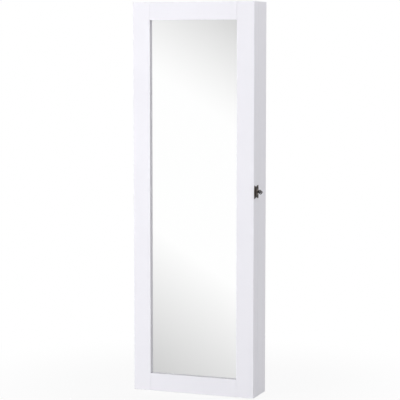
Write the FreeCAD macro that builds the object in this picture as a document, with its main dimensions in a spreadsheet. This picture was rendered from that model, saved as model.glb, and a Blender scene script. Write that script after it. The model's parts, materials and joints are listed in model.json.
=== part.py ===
import FreeCAD, Part
import math
import os
import re

import Sketcher

# A wall-hung jewelry cabinet whose whole door is a framed mirror. Millimetres, +Z up.
# The wall is the plane y = 0, the front faces -Y, x = 0 is mid-width and z = 0 is the underside.

SIZES = {
    # Carcass
    "cabinet_width": 360,
    "cabinet_height": 1100,
    "carcass_depth": 68,
    "panel": 12,
    "edge_ease": 0.8,
    "back_thick": 3,
    "groove_depth": 4,
    "groove_clearance": 0.1,
    "lining_thick": 1.5,
    "lining_clearance": 0.3,
    # Hanging rails, keyhole plates and lower wall fixing
    "hanging_rail_height": 50,
    "hanging_rail_thick": 8,
    "hanger_spacing": 240,
    "hanger_width": 30,
    "hanger_height": 44,
    "hanger_thick": 1.5,
    "hanger_clearance": 0.1,
    "keyhole_entry_radius": 5,
    "keyhole_slot_radius": 2.5,
    "keyhole_travel": 14,
    "keyhole_drop": 6,
    "keyhole_room": 3,
    "hanger_screw_inset": 3.6,
    "plate_screw_radius": 1.3,
    "plate_screw_head": 2.6,
    "plate_screw_sink": 1.3,
    "plate_screw_length": 7,
    "fixing_spacing": 260,
    "fixing_radius": 2.75,
    # Shelves and bays; two stand on the bottom, two hang from the top, and the necklace bay between
    # them takes what is left
    "shelf_thick": 8,
    "shelf_setback": 4,
    "bottom_bay": 158,
    "lower_bay": 152,
    "earring_bay": 102,
    "fence_thick": 4,
    "fence_height": 26,
    # Ring rolls
    "ring_rolls": 5,
    "ring_roll_pitch": 24,
    "ring_roll_flat": 14,
    "ring_roll_crown": 10,
    "soft_clearance": 0.3,
    # Earring bars
    "earring_bars": 3,
    "earring_bar_thick": 3,
    "earring_bar_height": 12,
    "earring_bar_reach": 26,
    "earring_bar_foot": 20,
    "earring_bar_pitch": 28,
    "earring_notch_width": 1.5,
    "earring_notch_depth": 5,
    "earring_notch_pitch": 12,
    "earring_notch_margin": 14,
    # Necklace rail and pegs
    "necklace_rail_height": 28,
    "necklace_rail_thick": 12,
    "necklace_rail_drop": 22,
    "peg_radius": 2,
    "peg_clearance": 0.05,
    "peg_tenon": 8,
    "peg_reach": 26,
    "peg_cap_radius": 4,
    "peg_cap_length": 4,
    "peg_pitch": 22,
    "peg_margin": 24,
    "cap_flare_share": 0.3,
    "cap_rim_share": 0.3,
    "cap_face_share": 0.6,
    # Door frame, mirror and tray
    "door_gap": 1,
    "stile_width": 51,
    "rail_width": 50,
    "reveal": 9,
    "rabbet_width": 8,
    "glass_thick": 3,
    "backing_thick": 3,
    "glass_clearance": 0.5,
    "tray_depth": 19,
    "tray_wall": 12,
    # Door pegs
    "door_rail_length": 250,
    "door_rail_height": 22,
    "door_rail_thick": 5,
    "door_rail_drop": 150,
    "door_peg_radius": 1.5,
    "door_peg_tenon": 4,
    "door_peg_reach": 7,
    "door_cap_radius": 3,
    "door_cap_length": 3,
    "door_peg_pitch": 20,
    "door_peg_margin": 12,
    # Hinges
    "hinge_height": 60,
    "hinge_inset": 110,
    "leaf_width": 10,
    "leaf_thick": 1.2,
    "leaf_air": 0.3,
    "leaf_clearance": 0.1,
    "knuckle_radius": 3,
    "knuckle_air": 0.3,
    "knuckle_gap": 0.4,
    "pin_radius": 1.4,
    "pin_tight": 0.02,
    "pin_running": 0.05,
    "pin_head_radius": 2.3,
    "pin_head_length": 1.2,
    "hinge_screws": 3,
    "hinge_screw_pitch": 20,
    "hinge_screw_radius": 1.3,
    "hinge_screw_head": 2.4,
    "hinge_screw_length": 14,
    "screw_clearance": 0.05,
    # Magnetic catches and bumpers
    "catch_inset": 150,
    "catch_radius": 3.5,
    "catch_clearance": 0.05,
    "magnet_length": 6,
    "disc_thick": 1.5,
    "bumper_inset": 40,
    "bumper_radius": 4,
    "bumper_thick": 0.7,
    # Lock, strike and key
    "lock_height": 577,
    "lock_setback": 17,
    "barrel_radius": 7,
    "barrel_clearance": 0.1,
    "barrel_length": 22,
    "flange_radius": 8.4,
    "flange_length": 3,
    "flange_ease": 0.8,
    "escutcheon_thick": 1.8,
    "escutcheon_ease": 0.6,
    "escutcheon_width": 29,
    "escutcheon_height": 37,
    "escutcheon_bulge": 2,
    "escutcheon_dip": 3.5,
    "nut_across_corners": 21.9,
    "nut_thick": 3,
    "thread_clearance": 0.05,
    "plug_radius": 5.5,
    "plug_clearance": 0.05,
    "plug_recess": 0.4,
    "plug_shoulder": 0.5,
    "tenon_width": 5,
    "tenon_clearance": 0.05,
    "cam_thick": 2,
    "cam_hub_radius": 8,
    "cam_arm_width": 6,
    "cam_finger_width": 4,
    "cam_finger_arc": 40,
    "cam_finger_lead": 12,
    "cam_travel": 90,
    "cam_clearance": 0.5,
    "cam_screw_radius": 1.5,
    "cam_screw_head": 3.6,
    "cam_screw_head_length": 1.6,
    "cam_screw_wall": 1.4,
    "pocket_width": 18,
    "pocket_front": 5.5,
    "pocket_air": 3,
    "strike_reach": 21.1,
    "strike_drop": 7.7,
    "strike_pin_radius": 2,
    "strike_pin_past": 2,
    "strike_thick": 2,
    "strike_width": 22,
    "strike_height": 36,
    "strike_margin": 0.5,
    "strike_screw_inset": 5,
    "key_tilt": 30,
    "key_shaft_radius": 2,
    "key_clearance": 0.1,
    "key_depth": 20,
    "key_end_air": 0.5,
    "key_standoff": 3.4,
    "key_collar_radius": 3.2,
    "key_collar_length": 1.5,
    "key_bit_thick": 1.6,
    "key_bit_length": 5,
    "key_bit_reach": 4.4,
    "bow_thick": 2.2,
    "bow_lobe_radius": 4,
    "bow_hole_radius": 1.7,
    "bow_spread": 3.8,
    "bow_rise": 3.2,
}

VECTOR = FreeCAD.Vector
X_WAY, Y_WAY, Z_WAY = VECTOR(1, 0, 0), VECTOR(0, 1, 0), VECTOR(0, 0, 1)
# What turns a cylinder, which is drawn along Z, to lie along each axis.
ALONG = {
    "x": FreeCAD.Rotation(Y_WAY, 90),
    "y": FreeCAD.Rotation(X_WAY, -90),
    "z": FreeCAD.Rotation(),
}
ALIAS = re.compile(r"\b(" + "|".join(SIZES) + r")\b")

# Planes that several pieces share, as expressions on the driving dimensions.
RIGHT = "(cabinet_width / 2)"
LEFT = "(-cabinet_width / 2)"
INNER = "(cabinet_width / 2 - panel)"
CARCASS_FRONT = "(-carcass_depth)"
BACK_FRONT = "(-hanging_rail_thick - back_thick)"
LINING_FRONT = f"({BACK_FRONT} - lining_thick)"
SHELF_FRONT = f"({CARCASS_FRONT} + shelf_setback)"
TOP = "(cabinet_height - panel)"

HANGER_MIDDLE = f"({TOP} - hanging_rail_height / 2)"
KEYHOLE_Z = f"({HANGER_MIDDLE} - keyhole_drop)"

SHELF_LOWER = "(panel + bottom_bay)"
SHELF_UPPER = f"({SHELF_LOWER} + shelf_thick + lower_bay)"
RING_SHELF = f"({TOP} - ring_rolls * ring_roll_pitch - shelf_thick)"
EARRING_SHELF = f"({RING_SHELF} - earring_bay - shelf_thick)"

GAP_MIDDLE = f"({CARCASS_FRONT} - door_gap / 2)"
DOOR_BACK = f"({CARCASS_FRONT} - door_gap)"
FRAME_BACK = f"({DOOR_BACK} - tray_depth)"
GLASS_FRONT = f"({FRAME_BACK} - backing_thick - glass_thick)"
DOOR_FRONT = f"({GLASS_FRONT} - reveal)"
FRAME_THICK = "(reveal + glass_thick + backing_thick)"
DOOR_LINING_BACK = f"({FRAME_BACK} + lining_thick)"
TRAY_INNER = "(cabinet_width / 2 - tray_wall)"
OPENING = "(cabinet_width / 2 - stile_width)"
GLASS_HALF = f"({OPENING} + rabbet_width - glass_clearance)"
GLASS_LOW = "(rail_width - rabbet_width + glass_clearance)"

HINGE_X = f"({LEFT} - knuckle_radius - knuckle_air)"
HINGE_HEIGHTS = {
    "bottom": "hinge_inset",
    "middle": "(cabinet_height / 2)",
    "top": "(cabinet_height - hinge_inset)",
}
LEAF_SCREW_X = f"({LEFT} + leaf_width / 2)"
CABINET_LEAF = (f"({GAP_MIDDLE} + leaf_air)", f"({GAP_MIDDLE} + leaf_air + leaf_thick)")
DOOR_LEAF = (f"({GAP_MIDDLE} - leaf_air - leaf_thick)", f"({GAP_MIDDLE} - leaf_air)")

CATCH_HEIGHTS = ("catch_inset", "(cabinet_height - catch_inset)")
BUMPER_HEIGHTS = ("bumper_inset", "(cabinet_height - bumper_inset)")
EDGE_MIDDLE = "(cabinet_width / 2 - panel / 2)"

LOCK_Y = f"({DOOR_FRONT} + lock_setback)"
FLANGE_BACK = f"({RIGHT} + escutcheon_thick)"
FLANGE_FRONT = f"({FLANGE_BACK} + flange_length)"
BARREL_END = f"({RIGHT} - barrel_length)"
CAM_OUT = f"({BARREL_END} - plug_shoulder)"
CAM_IN = f"({CAM_OUT} - cam_thick)"
PLUG_FACE = f"({FLANGE_FRONT} - plug_recess)"
KEY_TIP = f"({PLUG_FACE} - key_depth)"
KEYWAY_FLOOR = f"({KEY_TIP} - key_end_air)"
CAM_SCREW_END = f"({KEYWAY_FLOOR} - cam_screw_wall)"
BOW_START = f"({FLANGE_FRONT} + key_standoff)"
STRIKE_Y = f"({LOCK_Y} + strike_reach)"
STRIKE_Z = "(lock_height - strike_drop)"
STRIKE_RADIUS = "sqrt(strike_reach ^ 2 + strike_drop ^ 2)"
FINGER_INNER = f"({STRIKE_RADIUS} + strike_pin_radius + cam_clearance)"
FINGER_OUTER = f"({FINGER_INNER} + cam_finger_width)"

doc = FreeCAD.newDocument("JewelryMirrorCabinet")


def fill_sheet():
    """The driving dimensions, one a row, each under the word that the pieces use for it."""
    sheet = doc.addObject("Spreadsheet::Sheet", "Sizes")
    for row, (word, size) in enumerate(SIZES.items(), start=1):
        sheet.set(f"A{row}", word)
        sheet.set(f"B{row}", str(size))
        sheet.setAlias(f"B{row}", word)
    doc.recompute()
    return sheet


sheet = fill_sheet()


def bound(text):
    """An expression with each driving dimension's word pointed at the sheet."""
    return ALIAS.sub(r"Sizes.\1", text)


def value(text):
    """What an expression comes to with the present sizes."""
    return float(sheet.evalExpression(bound(text)))


def place(piece, x, y, z, turn=FreeCAD.Rotation()):
    """Put a piece at expressions for x, y and z, turned as given."""
    piece.Placement = FreeCAD.Placement(VECTOR(value(x), value(y), value(z)), turn)
    for axis, text in zip("xyz", (x, y, z)):
        piece.setExpression(f".Placement.Base.{axis}", bound(text))


# Primitives and booleans

def block(label, x, y, z):
    """A rectangular board between low and high expressions along each axis."""
    piece = doc.addObject("Part::Box", "Block")
    piece.Label = label
    for side, (low, high) in zip(("Length", "Width", "Height"), (x, y, z)):
        piece.setExpression(side, bound(f"({high}) - ({low})"))
    place(piece, x[0], y[0], z[0])
    return piece


def rod(label, along, span, centre, radius):
    """A cylinder along one axis; centre holds its places on the other two, in x, y, z order."""
    piece = doc.addObject("Part::Cylinder", "Rod")
    piece.Label = label
    piece.setExpression("Radius", bound(radius))
    piece.setExpression("Height", bound(f"({span[1]}) - ({span[0]})"))
    spots = list(centre)
    spots.insert("xyz".index(along), span[0])
    place(piece, *spots, ALONG[along])
    return piece


def taper(label, along, span, centre, radii):
    """A cone along one axis, from the first radius at the low end to the second at the high end."""
    piece = doc.addObject("Part::Cone", "Taper")
    piece.Label = label
    piece.setExpression("Radius1", bound(radii[0]))
    piece.setExpression("Radius2", bound(radii[1]))
    piece.setExpression("Height", bound(f"({span[1]}) - ({span[0]})"))
    spots = list(centre)
    spots.insert("xyz".index(along), span[0])
    place(piece, *spots, ALONG[along])
    return piece


def joined(label, pieces):
    """Pieces that are one solid."""
    piece = doc.addObject("Part::MultiFuse", "Joined")
    piece.Shapes = pieces
    piece.Refine = True
    piece.Label = label
    return piece


def gathered(label, pieces):
    """Separate solids that share one node."""
    piece = doc.addObject("Part::Compound", "Gathered")
    piece.Links = pieces
    piece.Label = label
    return piece


def cut(label, base, tools):
    """A piece with holes, grooves or recesses taken out of it."""
    piece = doc.addObject("Part::Cut", "Cut")
    piece.Base = base
    piece.Tool = tools[0] if len(tools) == 1 else joined(f"{label} cuts", tools)
    piece.Label = label
    return piece


# Bodies made from sketches

def new_body(label, x="0", y="0", z="0", turn=FreeCAD.Rotation(), many=False):
    """An empty body, which may hold many separate solids."""
    body = doc.addObject("PartDesign::Body", "Body")
    body.Label = label
    body.AllowCompound = many
    place(body, x, y, z, turn)
    return body


def origin_part(body, role):
    """A plane or axis of a body's own origin."""
    return next(part for part in body.Origin.OriginFeatures if part.Role == role)


def new_sketch(body, plane, offset="0"):
    """An empty sketch on one of a body's origin planes, moved along that plane's normal."""
    sketch = body.newObject("Sketcher::SketchObject", "Outline")
    sketch.AttachmentSupport = [(origin_part(body, plane), "")]
    sketch.MapMode = "FlatFace"
    sketch.setExpression(".AttachmentOffset.Base.z", bound(offset))
    return sketch


def pin_down(sketch, edge, point, place_x, place_y):
    """Bind a point of a sketch to expressions, or to an axis where it is zero."""
    for way, axis, text in (("DistanceX", -2, place_x), ("DistanceY", -1, place_y)):
        if text == "0":
            sketch.addConstraint(Sketcher.Constraint("PointOnObject", edge, point, axis))
            continue
        rule = sketch.addConstraint(Sketcher.Constraint(way, -1, 1, edge, point, value(text)))
        sketch.setExpression(f"Constraints[{rule}]", bound(text))


def outline(body, plane, corners, bows=None, offset="0"):
    """A closed sketch through corners. A side named in bows is an arc that stands off its chord by
    the given expression, outwards on an outline drawn anticlockwise, or inwards where it starts
    with a minus sign."""
    sketch = new_sketch(body, plane, offset)
    spots = [VECTOR(value(x), value(y), 0) for x, y in corners]
    count = len(corners)
    starts, ends = [], []
    for side, start in enumerate(spots):
        end = spots[(side + 1) % count]
        rise = (bows or {}).get(side)
        if rise is None:
            sketch.addGeometry(Part.LineSegment(start, end), False)
            forward = True
        else:
            outward = (end - start).cross(Z_WAY).normalize()
            middle = (start + end) * 0.5 + outward * value(rise)
            sketch.addGeometry(Part.Arc(start, middle, end), False)
            forward = sketch.getPoint(side, 1).distanceToPoint(start) < value(rise.lstrip("-"))
        starts.append(1 if forward else 2)
        ends.append(2 if forward else 1)
    for side in range(count):
        following = (side + 1) % count
        rule = Sketcher.Constraint("Coincident", side, ends[side], following, starts[following])
        sketch.addConstraint(rule)
    for side, (x, y) in enumerate(corners):
        pin_down(sketch, side, starts[side], x, y)
    for side, rise in (bows or {}).items():
        (x1, y1), (x2, y2) = corners[side], corners[(side + 1) % count]
        height = rise.lstrip("-")
        radius = f"((({x2}) - ({x1})) ^ 2 + (({y2}) - ({y1})) ^ 2) / (8 * {height}) + {height} / 2"
        rule = sketch.addConstraint(Sketcher.Constraint("Radius", side, value(radius)))
        sketch.setExpression(f"Constraints[{rule}]", bound(radius))
    return sketch


def rectangle(body, plane, across, up, offset="0"):
    """A sketched rectangle between low and high expressions."""
    corners = [(across[0], up[0]), (across[1], up[0]), (across[1], up[1]), (across[0], up[1])]
    return outline(body, plane, corners, offset=offset)


def circle(body, plane, centre, radius, offset="0"):
    """A sketched circle."""
    sketch = new_sketch(body, plane, offset)
    spot = VECTOR(value(centre[0]), value(centre[1]), 0)
    sketch.addGeometry(Part.Circle(spot, Z_WAY, value(radius)), False)
    rule = sketch.addConstraint(Sketcher.Constraint("Radius", 0, value(radius)))
    sketch.setExpression(f"Constraints[{rule}]", bound(radius))
    pin_down(sketch, 0, 3, *centre)
    return sketch


def pad(body, sketch, length):
    """Material raised from a sketch, along its plane's normal."""
    feature = body.newObject("PartDesign::Pad", "Pad")
    feature.Profile = sketch
    feature.setExpression("Length", bound(length))
    doc.recompute()
    return feature


def pocket(body, sketch, length):
    """Material cut away against the normal of a sketch's plane."""
    before = body.Shape.Volume
    feature = body.newObject("PartDesign::Pocket", "Pocket")
    feature.Profile = sketch
    feature.setExpression("Length", bound(length))
    doc.recompute()
    if body.Shape.Volume >= before:
        raise ValueError(f"a pocket of {body.Label} cuts nothing")
    return feature


def turned(body, sketch, axis):
    """A sketch turned once round its own horizontal or vertical axis."""
    feature = body.newObject("PartDesign::Revolution", "Turned")
    feature.Profile = sketch
    feature.ReferenceAxis = (sketch, [axis])
    feature.Angle = 360
    doc.recompute()
    return feature


def row(body, feature, axis, pitch, count, whole=False):
    """Copies of a feature, or of the whole body so far, in a straight row."""
    pattern = body.newObject("PartDesign::LinearPattern", "Row")
    if whole:
        pattern.TransformMode = "Whole shape"
    else:
        pattern.Originals = [feature]
    pattern.Direction = (origin_part(body, axis), [""])
    pattern.setExpression("Length", bound(f"({pitch}) * ({count} - 1)"))
    pattern.setExpression("Occurrences", bound(count))
    body.Tip = pattern
    doc.recompute()
    return pattern


def ease(body, feature, way, radius):
    """Round every edge of the flat face that lies furthest along a direction."""
    faces = feature.Shape.Faces
    far = max(range(len(faces)), key=lambda index: faces[index].CenterOfMass.dot(way))
    fillet = body.newObject("PartDesign::Fillet", "Ease")
    fillet.Base = (feature, [f"Face{far + 1}"])
    fillet.setExpression("Radius", bound(radius))
    doc.recompute()
    return fillet


def eased_board(label, x, y, z, way, radius="edge_ease"):
    """A board with the edges of one face rounded."""
    body = new_body(label, x[0], y[0], z[0])
    across = f"({x[1]}) - ({x[0]})"
    back = f"({y[1]}) - ({y[0]})"
    face = rectangle(body, "XY_Plane", ("0", across), ("0", back))
    ease(body, pad(body, face, f"({z[1]}) - ({z[0]})"), way, radius)
    return body


def fitting(pitch, room):
    """How many copies at a pitch fit in a length."""
    return f"(floor(({room}) / {pitch}) + 1)"


# Carcass

def about(centre, half):
    """The two expressions that lie half a width either side of a centre."""
    return (f"({centre}) - ({half})", f"({centre}) + ({half})")


def spread(half):
    """The two expressions that lie either side of mid-width."""
    return (f"-({half})", f"({half})")


def back_groove(label, x, z):
    """The groove that takes the edge of the back panel."""
    across = (f"{BACK_FRONT} - groove_clearance", "-hanging_rail_thick + groove_clearance")
    return block(label, x, across, z)


def hinge_screw_drills(label, deep, height):
    """Pilot holes for the screws of one hinge leaf, from one y to another."""
    drills = []
    for number in range(int(value("hinge_screws"))):
        level = f"({height}) + hinge_screw_pitch * ({number} - (hinge_screws - 1) / 2)"
        drills.append(rod(label, "y", deep, (LEAF_SCREW_X, level),
                          "hinge_screw_radius + screw_clearance"))
    return drills


def hinge_recesses(label, leaf, deep):
    """What the hinge leaves and their screws take out of the edge that they are let into."""
    tools = []
    for height in HINGE_HEIGHTS.values():
        tools.append(block(f"{label} recess", (LEFT, f"{LEFT} + leaf_width + leaf_clearance"),
                           leaf, about(height, "hinge_height / 2 + leaf_clearance")))
        tools += hinge_screw_drills(f"{label} pilot", deep, height)
    return tools


def side_panels():
    """The two sides: the left carries the hinges, the right the magnets and the strike."""
    tall = ("0", "cabinet_height")
    deep = (CARCASS_FRONT, "0")
    groove_z = ("panel - groove_depth", f"{TOP} + groove_depth")
    left = eased_board("left side blank", (LEFT, f"-{INNER}"), deep, tall, -X_WAY)
    groove = back_groove("left groove", (f"-{INNER} - groove_depth", f"-{INNER}"), groove_z)
    pilots = (CARCASS_FRONT, f"{CABINET_LEAF[0]} + hinge_screw_length")
    recesses = hinge_recesses("cabinet hinge", (CARCASS_FRONT, CABINET_LEAF[1]), pilots)
    side_left = cut("side_panel_left", left, [groove, *recesses])
    right = eased_board("right side blank", (INNER, RIGHT), deep, tall, X_WAY)
    groove = back_groove("right groove", (INNER, f"{INNER} + groove_depth"), groove_z)
    sockets = [rod("magnet socket", "y", (CARCASS_FRONT, f"{CARCASS_FRONT} + magnet_length"),
                   (EDGE_MIDDLE, height), "catch_radius + catch_clearance")
               for height in CATCH_HEIGHTS]
    pilots = strike_screws("strike pilot", "screw_clearance")
    side_right = cut("side_panel_right", right, [groove, *sockets, *pilots])
    return [side_left, side_right]


def end_panels():
    """The top and bottom, held between the sides."""
    panels = []
    for end, z, groove_z in (
            ("top", (TOP, "cabinet_height"), (TOP, f"{TOP} + groove_depth")),
            ("bottom", ("0", "panel"), ("panel - groove_depth", "panel"))):
        board = block(f"{end} blank", spread(INNER), (CARCASS_FRONT, "0"), z)
        groove = back_groove(f"{end} groove", spread(INNER), groove_z)
        panels.append(cut(f"{end}_panel", board, [groove]))
    return panels


def fixing_rods(label, radius, span):
    """The two lower wall fixings, as holes through whatever lies between two y values."""
    level = "panel + hanging_rail_height / 2"
    return [rod(label, "y", span, (f"{side} * fixing_spacing / 2", level), radius)
            for side in (-1, 1)]


def back():
    """The thin back in its grooves, its lining, and the two rails that meet the wall."""
    edge = "groove_depth - groove_clearance"
    sheet_board = block("back sheet", spread(f"{INNER} + {edge}"),
                        (BACK_FRONT, "-hanging_rail_thick"),
                        (f"panel - ({edge})", f"{TOP} + {edge}"))
    cloth_board = block("lining sheet", spread(f"{INNER} - lining_clearance"),
                        (LINING_FRONT, BACK_FRONT),
                        ("panel + lining_clearance", f"{TOP} - lining_clearance"))
    holes = fixing_rods("fixing hole", "fixing_radius", (LINING_FRONT, "0"))
    lower = block("lower rail blank", spread(INNER), ("-hanging_rail_thick", "0"),
                  ("panel", "panel + hanging_rail_height"))
    return [cut("back_panel", sheet_board, holes),
            cut("back_lining", cloth_board, holes),
            cut("hanging_rail_bottom", lower, holes),
            hanging_rail_top()]


def hanging_rail_top():
    """The rail behind the back that the keyhole plates are let into, hollow behind each keyhole."""
    blank = block("upper rail blank", spread(INNER), ("-hanging_rail_thick", "0"),
                  (f"{TOP} - hanging_rail_height", TOP))
    tools = []
    for side in (-1, 1):
        middle = f"{side} * hanger_spacing / 2"
        tools.append(block("plate recess", about(middle, "hanger_width / 2 + hanger_clearance"),
                           ("-hanger_thick", "0"),
                           about(HANGER_MIDDLE, "hanger_height / 2 + hanger_clearance")))
        tools.append(block("screw head room", about(middle, "keyhole_entry_radius + keyhole_room"),
                           ("-hanging_rail_thick", "-hanger_thick"),
                           (f"{KEYHOLE_Z} - keyhole_entry_radius - keyhole_room",
                            f"{KEYHOLE_Z} + keyhole_travel + keyhole_entry_radius")))
        tools += hanger_screws("plate screw pilot", side, "screw_clearance")
    return cut("hanging_rail_top", blank, tools)


def hanger_plate(side):
    """One keyhole plate: a screw head goes in at the round hole and slides up the slot."""
    middle = f"{side} * hanger_spacing / 2"
    through = ("-hanger_thick", "0")
    blank = block("plate blank", about(middle, "hanger_width / 2"), through,
                  about(HANGER_MIDDLE, "hanger_height / 2"))
    tools = [rod("keyhole entry", "y", through, (middle, KEYHOLE_Z), "keyhole_entry_radius"),
             rod("keyhole end", "y", through, (middle, f"{KEYHOLE_Z} + keyhole_travel"),
                 "keyhole_slot_radius"),
             block("keyhole slot", about(middle, "keyhole_slot_radius"), through,
                   (KEYHOLE_Z, f"{KEYHOLE_Z} + keyhole_travel"))]
    return cut("keyhole plate", blank, tools + hanger_screws("plate screw hole", side, "screw_clearance"))


def plate_screw(label, along, head_at, way, centre, slack):
    """A small countersunk screw, pointing up or down an axis from the face of its head; with some
    slack all round it is the hole that takes it."""
    narrow, wide = f"plate_screw_radius + {slack}", f"plate_screw_head + {slack}"
    if way > 0:
        neck = f"({head_at} + plate_screw_sink)"
        head = taper(f"{label} head", along, (head_at, neck), centre, (wide, narrow))
        shank = rod(f"{label} shank", along, (neck, f"{head_at} + plate_screw_length"), centre, narrow)
    else:
        neck = f"({head_at} - plate_screw_sink)"
        head = taper(f"{label} head", along, (neck, head_at), centre, (narrow, wide))
        shank = rod(f"{label} shank", along, (f"{head_at} - plate_screw_length", neck), centre, narrow)
    return joined(label, [head, shank])


def hanger_screws(label, side, slack="0"):
    """The upper and lower screw of one keyhole plate, or their holes."""
    return [plate_screw(label, "y", "0", -1,
                        (f"{side} * hanger_spacing / 2",
                         f"{HANGER_MIDDLE} {sign} (hanger_height / 2 - hanger_screw_inset)"), slack)
            for sign in "-+"]


def strike_screws(label, slack="0"):
    """The upper and lower screw of the strike, or their holes."""
    middle = f"{CARCASS_FRONT} + strike_margin + strike_width / 2"
    return [plate_screw(label, "x", f"({INNER} - strike_thick)", 1,
                        (middle, f"{STRIKE_Z} {sign} (strike_height / 2 - strike_screw_inset)"), slack)
            for sign in "-+"]


def plates_and_screws():
    """The keyhole plates, and the small screws that hold them and the strike."""
    plates = gathered("hanger_plates", [hanger_plate(-1), hanger_plate(1)])
    screws = [*hanger_screws("plate screw", -1), *hanger_screws("plate screw", 1),
              *strike_screws("plate screw")]
    return [plates, gathered("plate_screws", screws)]


# Inside

def shelves():
    """The four fixed shelves, set back from the front edge."""
    levels = {"shelf_lower": SHELF_LOWER, "shelf_upper": SHELF_UPPER,
              "earring_shelf": EARRING_SHELF, "ring_shelf": RING_SHELF}
    return [block(name, spread(INNER), (SHELF_FRONT, LINING_FRONT),
                  (level, f"{level} + shelf_thick"))
            for name, level in levels.items()]


def fences():
    """Low strips along the front of the bays that hold loose things, rounded on top."""
    levels = {"bottom_fence": "panel", "lower_fence": f"{SHELF_LOWER} + shelf_thick",
              "upper_fence": f"{SHELF_UPPER} + shelf_thick"}
    return [eased_board(name, spread(INNER), (SHELF_FRONT, f"{SHELF_FRONT} + fence_thick"),
                        (level, f"{level} + fence_height"), Z_WAY)
            for name, level in levels.items()]


def ring_rolls():
    """Padded half-round rolls, stacked so that a ring's band is pressed between two of them."""
    rolls = []
    for number in range(int(value("ring_rolls"))):
        body = new_body(f"ring_roll_{number + 1}", f"-{INNER} + soft_clearance",
                        f"{LINING_FRONT} - soft_clearance",
                        f"{RING_SHELF} + shelf_thick + ring_roll_pitch * {number} + soft_clearance")
        tall = "ring_roll_pitch - 2 * soft_clearance"
        corners = [("0", "0"), ("0", tall), ("-ring_roll_flat", tall), ("-ring_roll_flat", "0")]
        section = outline(body, "YZ_Plane", corners, {2: "ring_roll_crown"})
        pad(body, section, f"2 * ({INNER} - soft_clearance)")
        rolls.append(body)
    return rolls


def earring_bars():
    """Bars across the earring bay, notched along the top for ear hooks and studs."""
    bars = []
    notches = fitting("earring_notch_pitch", f"2 * ({INNER} - earring_notch_margin)")
    for number in range(int(value("earring_bars"))):
        level = f"{EARRING_SHELF} + shelf_thick + earring_bar_foot + earring_bar_pitch * {number}"
        body = new_body(f"earring_bar_{number + 1}", "0", f"{LINING_FRONT} - earring_bar_reach", level)
        face = rectangle(body, "XZ_Plane", spread(INNER), ("0", "earring_bar_height"))
        pad(body, face, "earring_bar_thick")
        first = f"-earring_notch_pitch * ({notches} - 1) / 2"
        notch = rectangle(body, "XZ_Plane", about(first, "earring_notch_width / 2"),
                          ("earring_bar_height - earring_notch_depth", "earring_bar_height"),
                          offset="earring_bar_thick")
        row(body, pocket(body, notch, "earring_bar_thick"), "X_Axis", "earring_notch_pitch", notches)
        bars.append(body)
    return bars


def peg_rail(label, place_at, half, tall, thick, peg):
    """A board with a row of blind holes in its front for pegs."""
    pitch, count, radius, tenon = peg
    body = new_body(label, *place_at)
    pad(body, rectangle(body, "XZ_Plane", spread(half), ("0", tall)), thick)
    first = f"-{pitch} * ({count} - 1) / 2"
    hole = circle(body, "XZ_Plane", (first, f"{tall} / 2"), f"{radius} + peg_clearance", offset=thick)
    row(body, pocket(body, hole, tenon), "X_Axis", pitch, count)
    return body


def pegs(label, place_at, peg, reach, cap_radius, cap_length):
    """Turned pegs with a flared cap, in a row; each tenon sits in the rail."""
    pitch, count, radius, tenon = peg
    x, y, z = place_at
    body = new_body(label, f"{x} - {pitch} * ({count} - 1) / 2", y, z, many=True)
    flare_end = f"-{reach} - {cap_length} * cap_flare_share"
    corners = [("0", tenon), ("0", f"-{reach} - {cap_length}"),
               (f"{cap_radius} * cap_face_share", f"-{reach} - {cap_length}"),
               (cap_radius, f"{flare_end} - {cap_length} * cap_rim_share"), (cap_radius, flare_end),
               (radius, f"-{reach}"), (radius, tenon)]
    turned_peg = turned(body, outline(body, "XY_Plane", corners), "V_Axis")
    row(body, turned_peg, "X_Axis", pitch, count)
    return body


def necklace_hanging():
    """The rail under the earring shelf and its pegs."""
    peg = ("peg_pitch", fitting("peg_pitch", f"2 * ({INNER} - peg_margin)"), "peg_radius", "peg_tenon")
    foot = f"{EARRING_SHELF} - necklace_rail_drop - necklace_rail_height"
    rail = peg_rail("necklace_rail", ("0", LINING_FRONT, foot), INNER, "necklace_rail_height",
                    "necklace_rail_thick", peg)
    hooks = pegs("necklace_pegs", ("0", f"{LINING_FRONT} - necklace_rail_thick",
                                   f"{foot} + necklace_rail_height / 2"),
                 peg, "peg_reach", "peg_cap_radius", "peg_cap_length")
    return [rail, hooks]


# Door

def door_stiles():
    """The long uprights of the mirror frame, rabbeted behind for the glass."""
    stiles = []
    for name, edge, inward in (("left", LEFT, ""), ("right", RIGHT, "-")):
        body = new_body(f"{name} stile blank", edge, DOOR_FRONT, "0")
        wide = f"{inward}stile_width"
        step = f"{inward}(stile_width - rabbet_width)"
        corners = [("0", "0"), (wide, "0"), (wide, "reveal"), (step, "reveal"),
                   (step, FRAME_THICK), ("0", FRAME_THICK)]
        ease(body, pad(body, outline(body, "XY_Plane", corners), "cabinet_height"),
             -Y_WAY, "edge_ease")
        stiles.append(body)
    left, right = stiles
    left.Label = "door_stile_left"
    return [left, cut("door_stile_right", right, [lock_hole("stile lock hole"), cam_pocket()])]


def door_rails():
    """The short members between the stiles; a tongue at each end laps into the stile's rabbet."""
    rails = []
    for name, foot, inward in (("top", "cabinet_height", "-"), ("bottom", "0", "")):
        body = new_body(f"door_rail_{name}", f"-{OPENING}", DOOR_FRONT, foot)
        tall = f"{inward}rail_width"
        step = f"{inward}(rail_width - rabbet_width)"
        corners = [("0", "0"), ("reveal", "0"), (FRAME_THICK, "0"), (FRAME_THICK, step),
                   ("reveal", step), ("reveal", tall), ("0", tall)]
        pad(body, outline(body, "YZ_Plane", corners), f"2 * {OPENING}")
        tongue = rectangle(body, "YZ_Plane", ("reveal", FRAME_THICK), ("0", step), "-rabbet_width")
        whole = pad(body, tongue, f"2 * ({OPENING} + rabbet_width)")
        ease(body, whole, -Y_WAY, "edge_ease")
        rails.append(body)
    return rails


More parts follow.
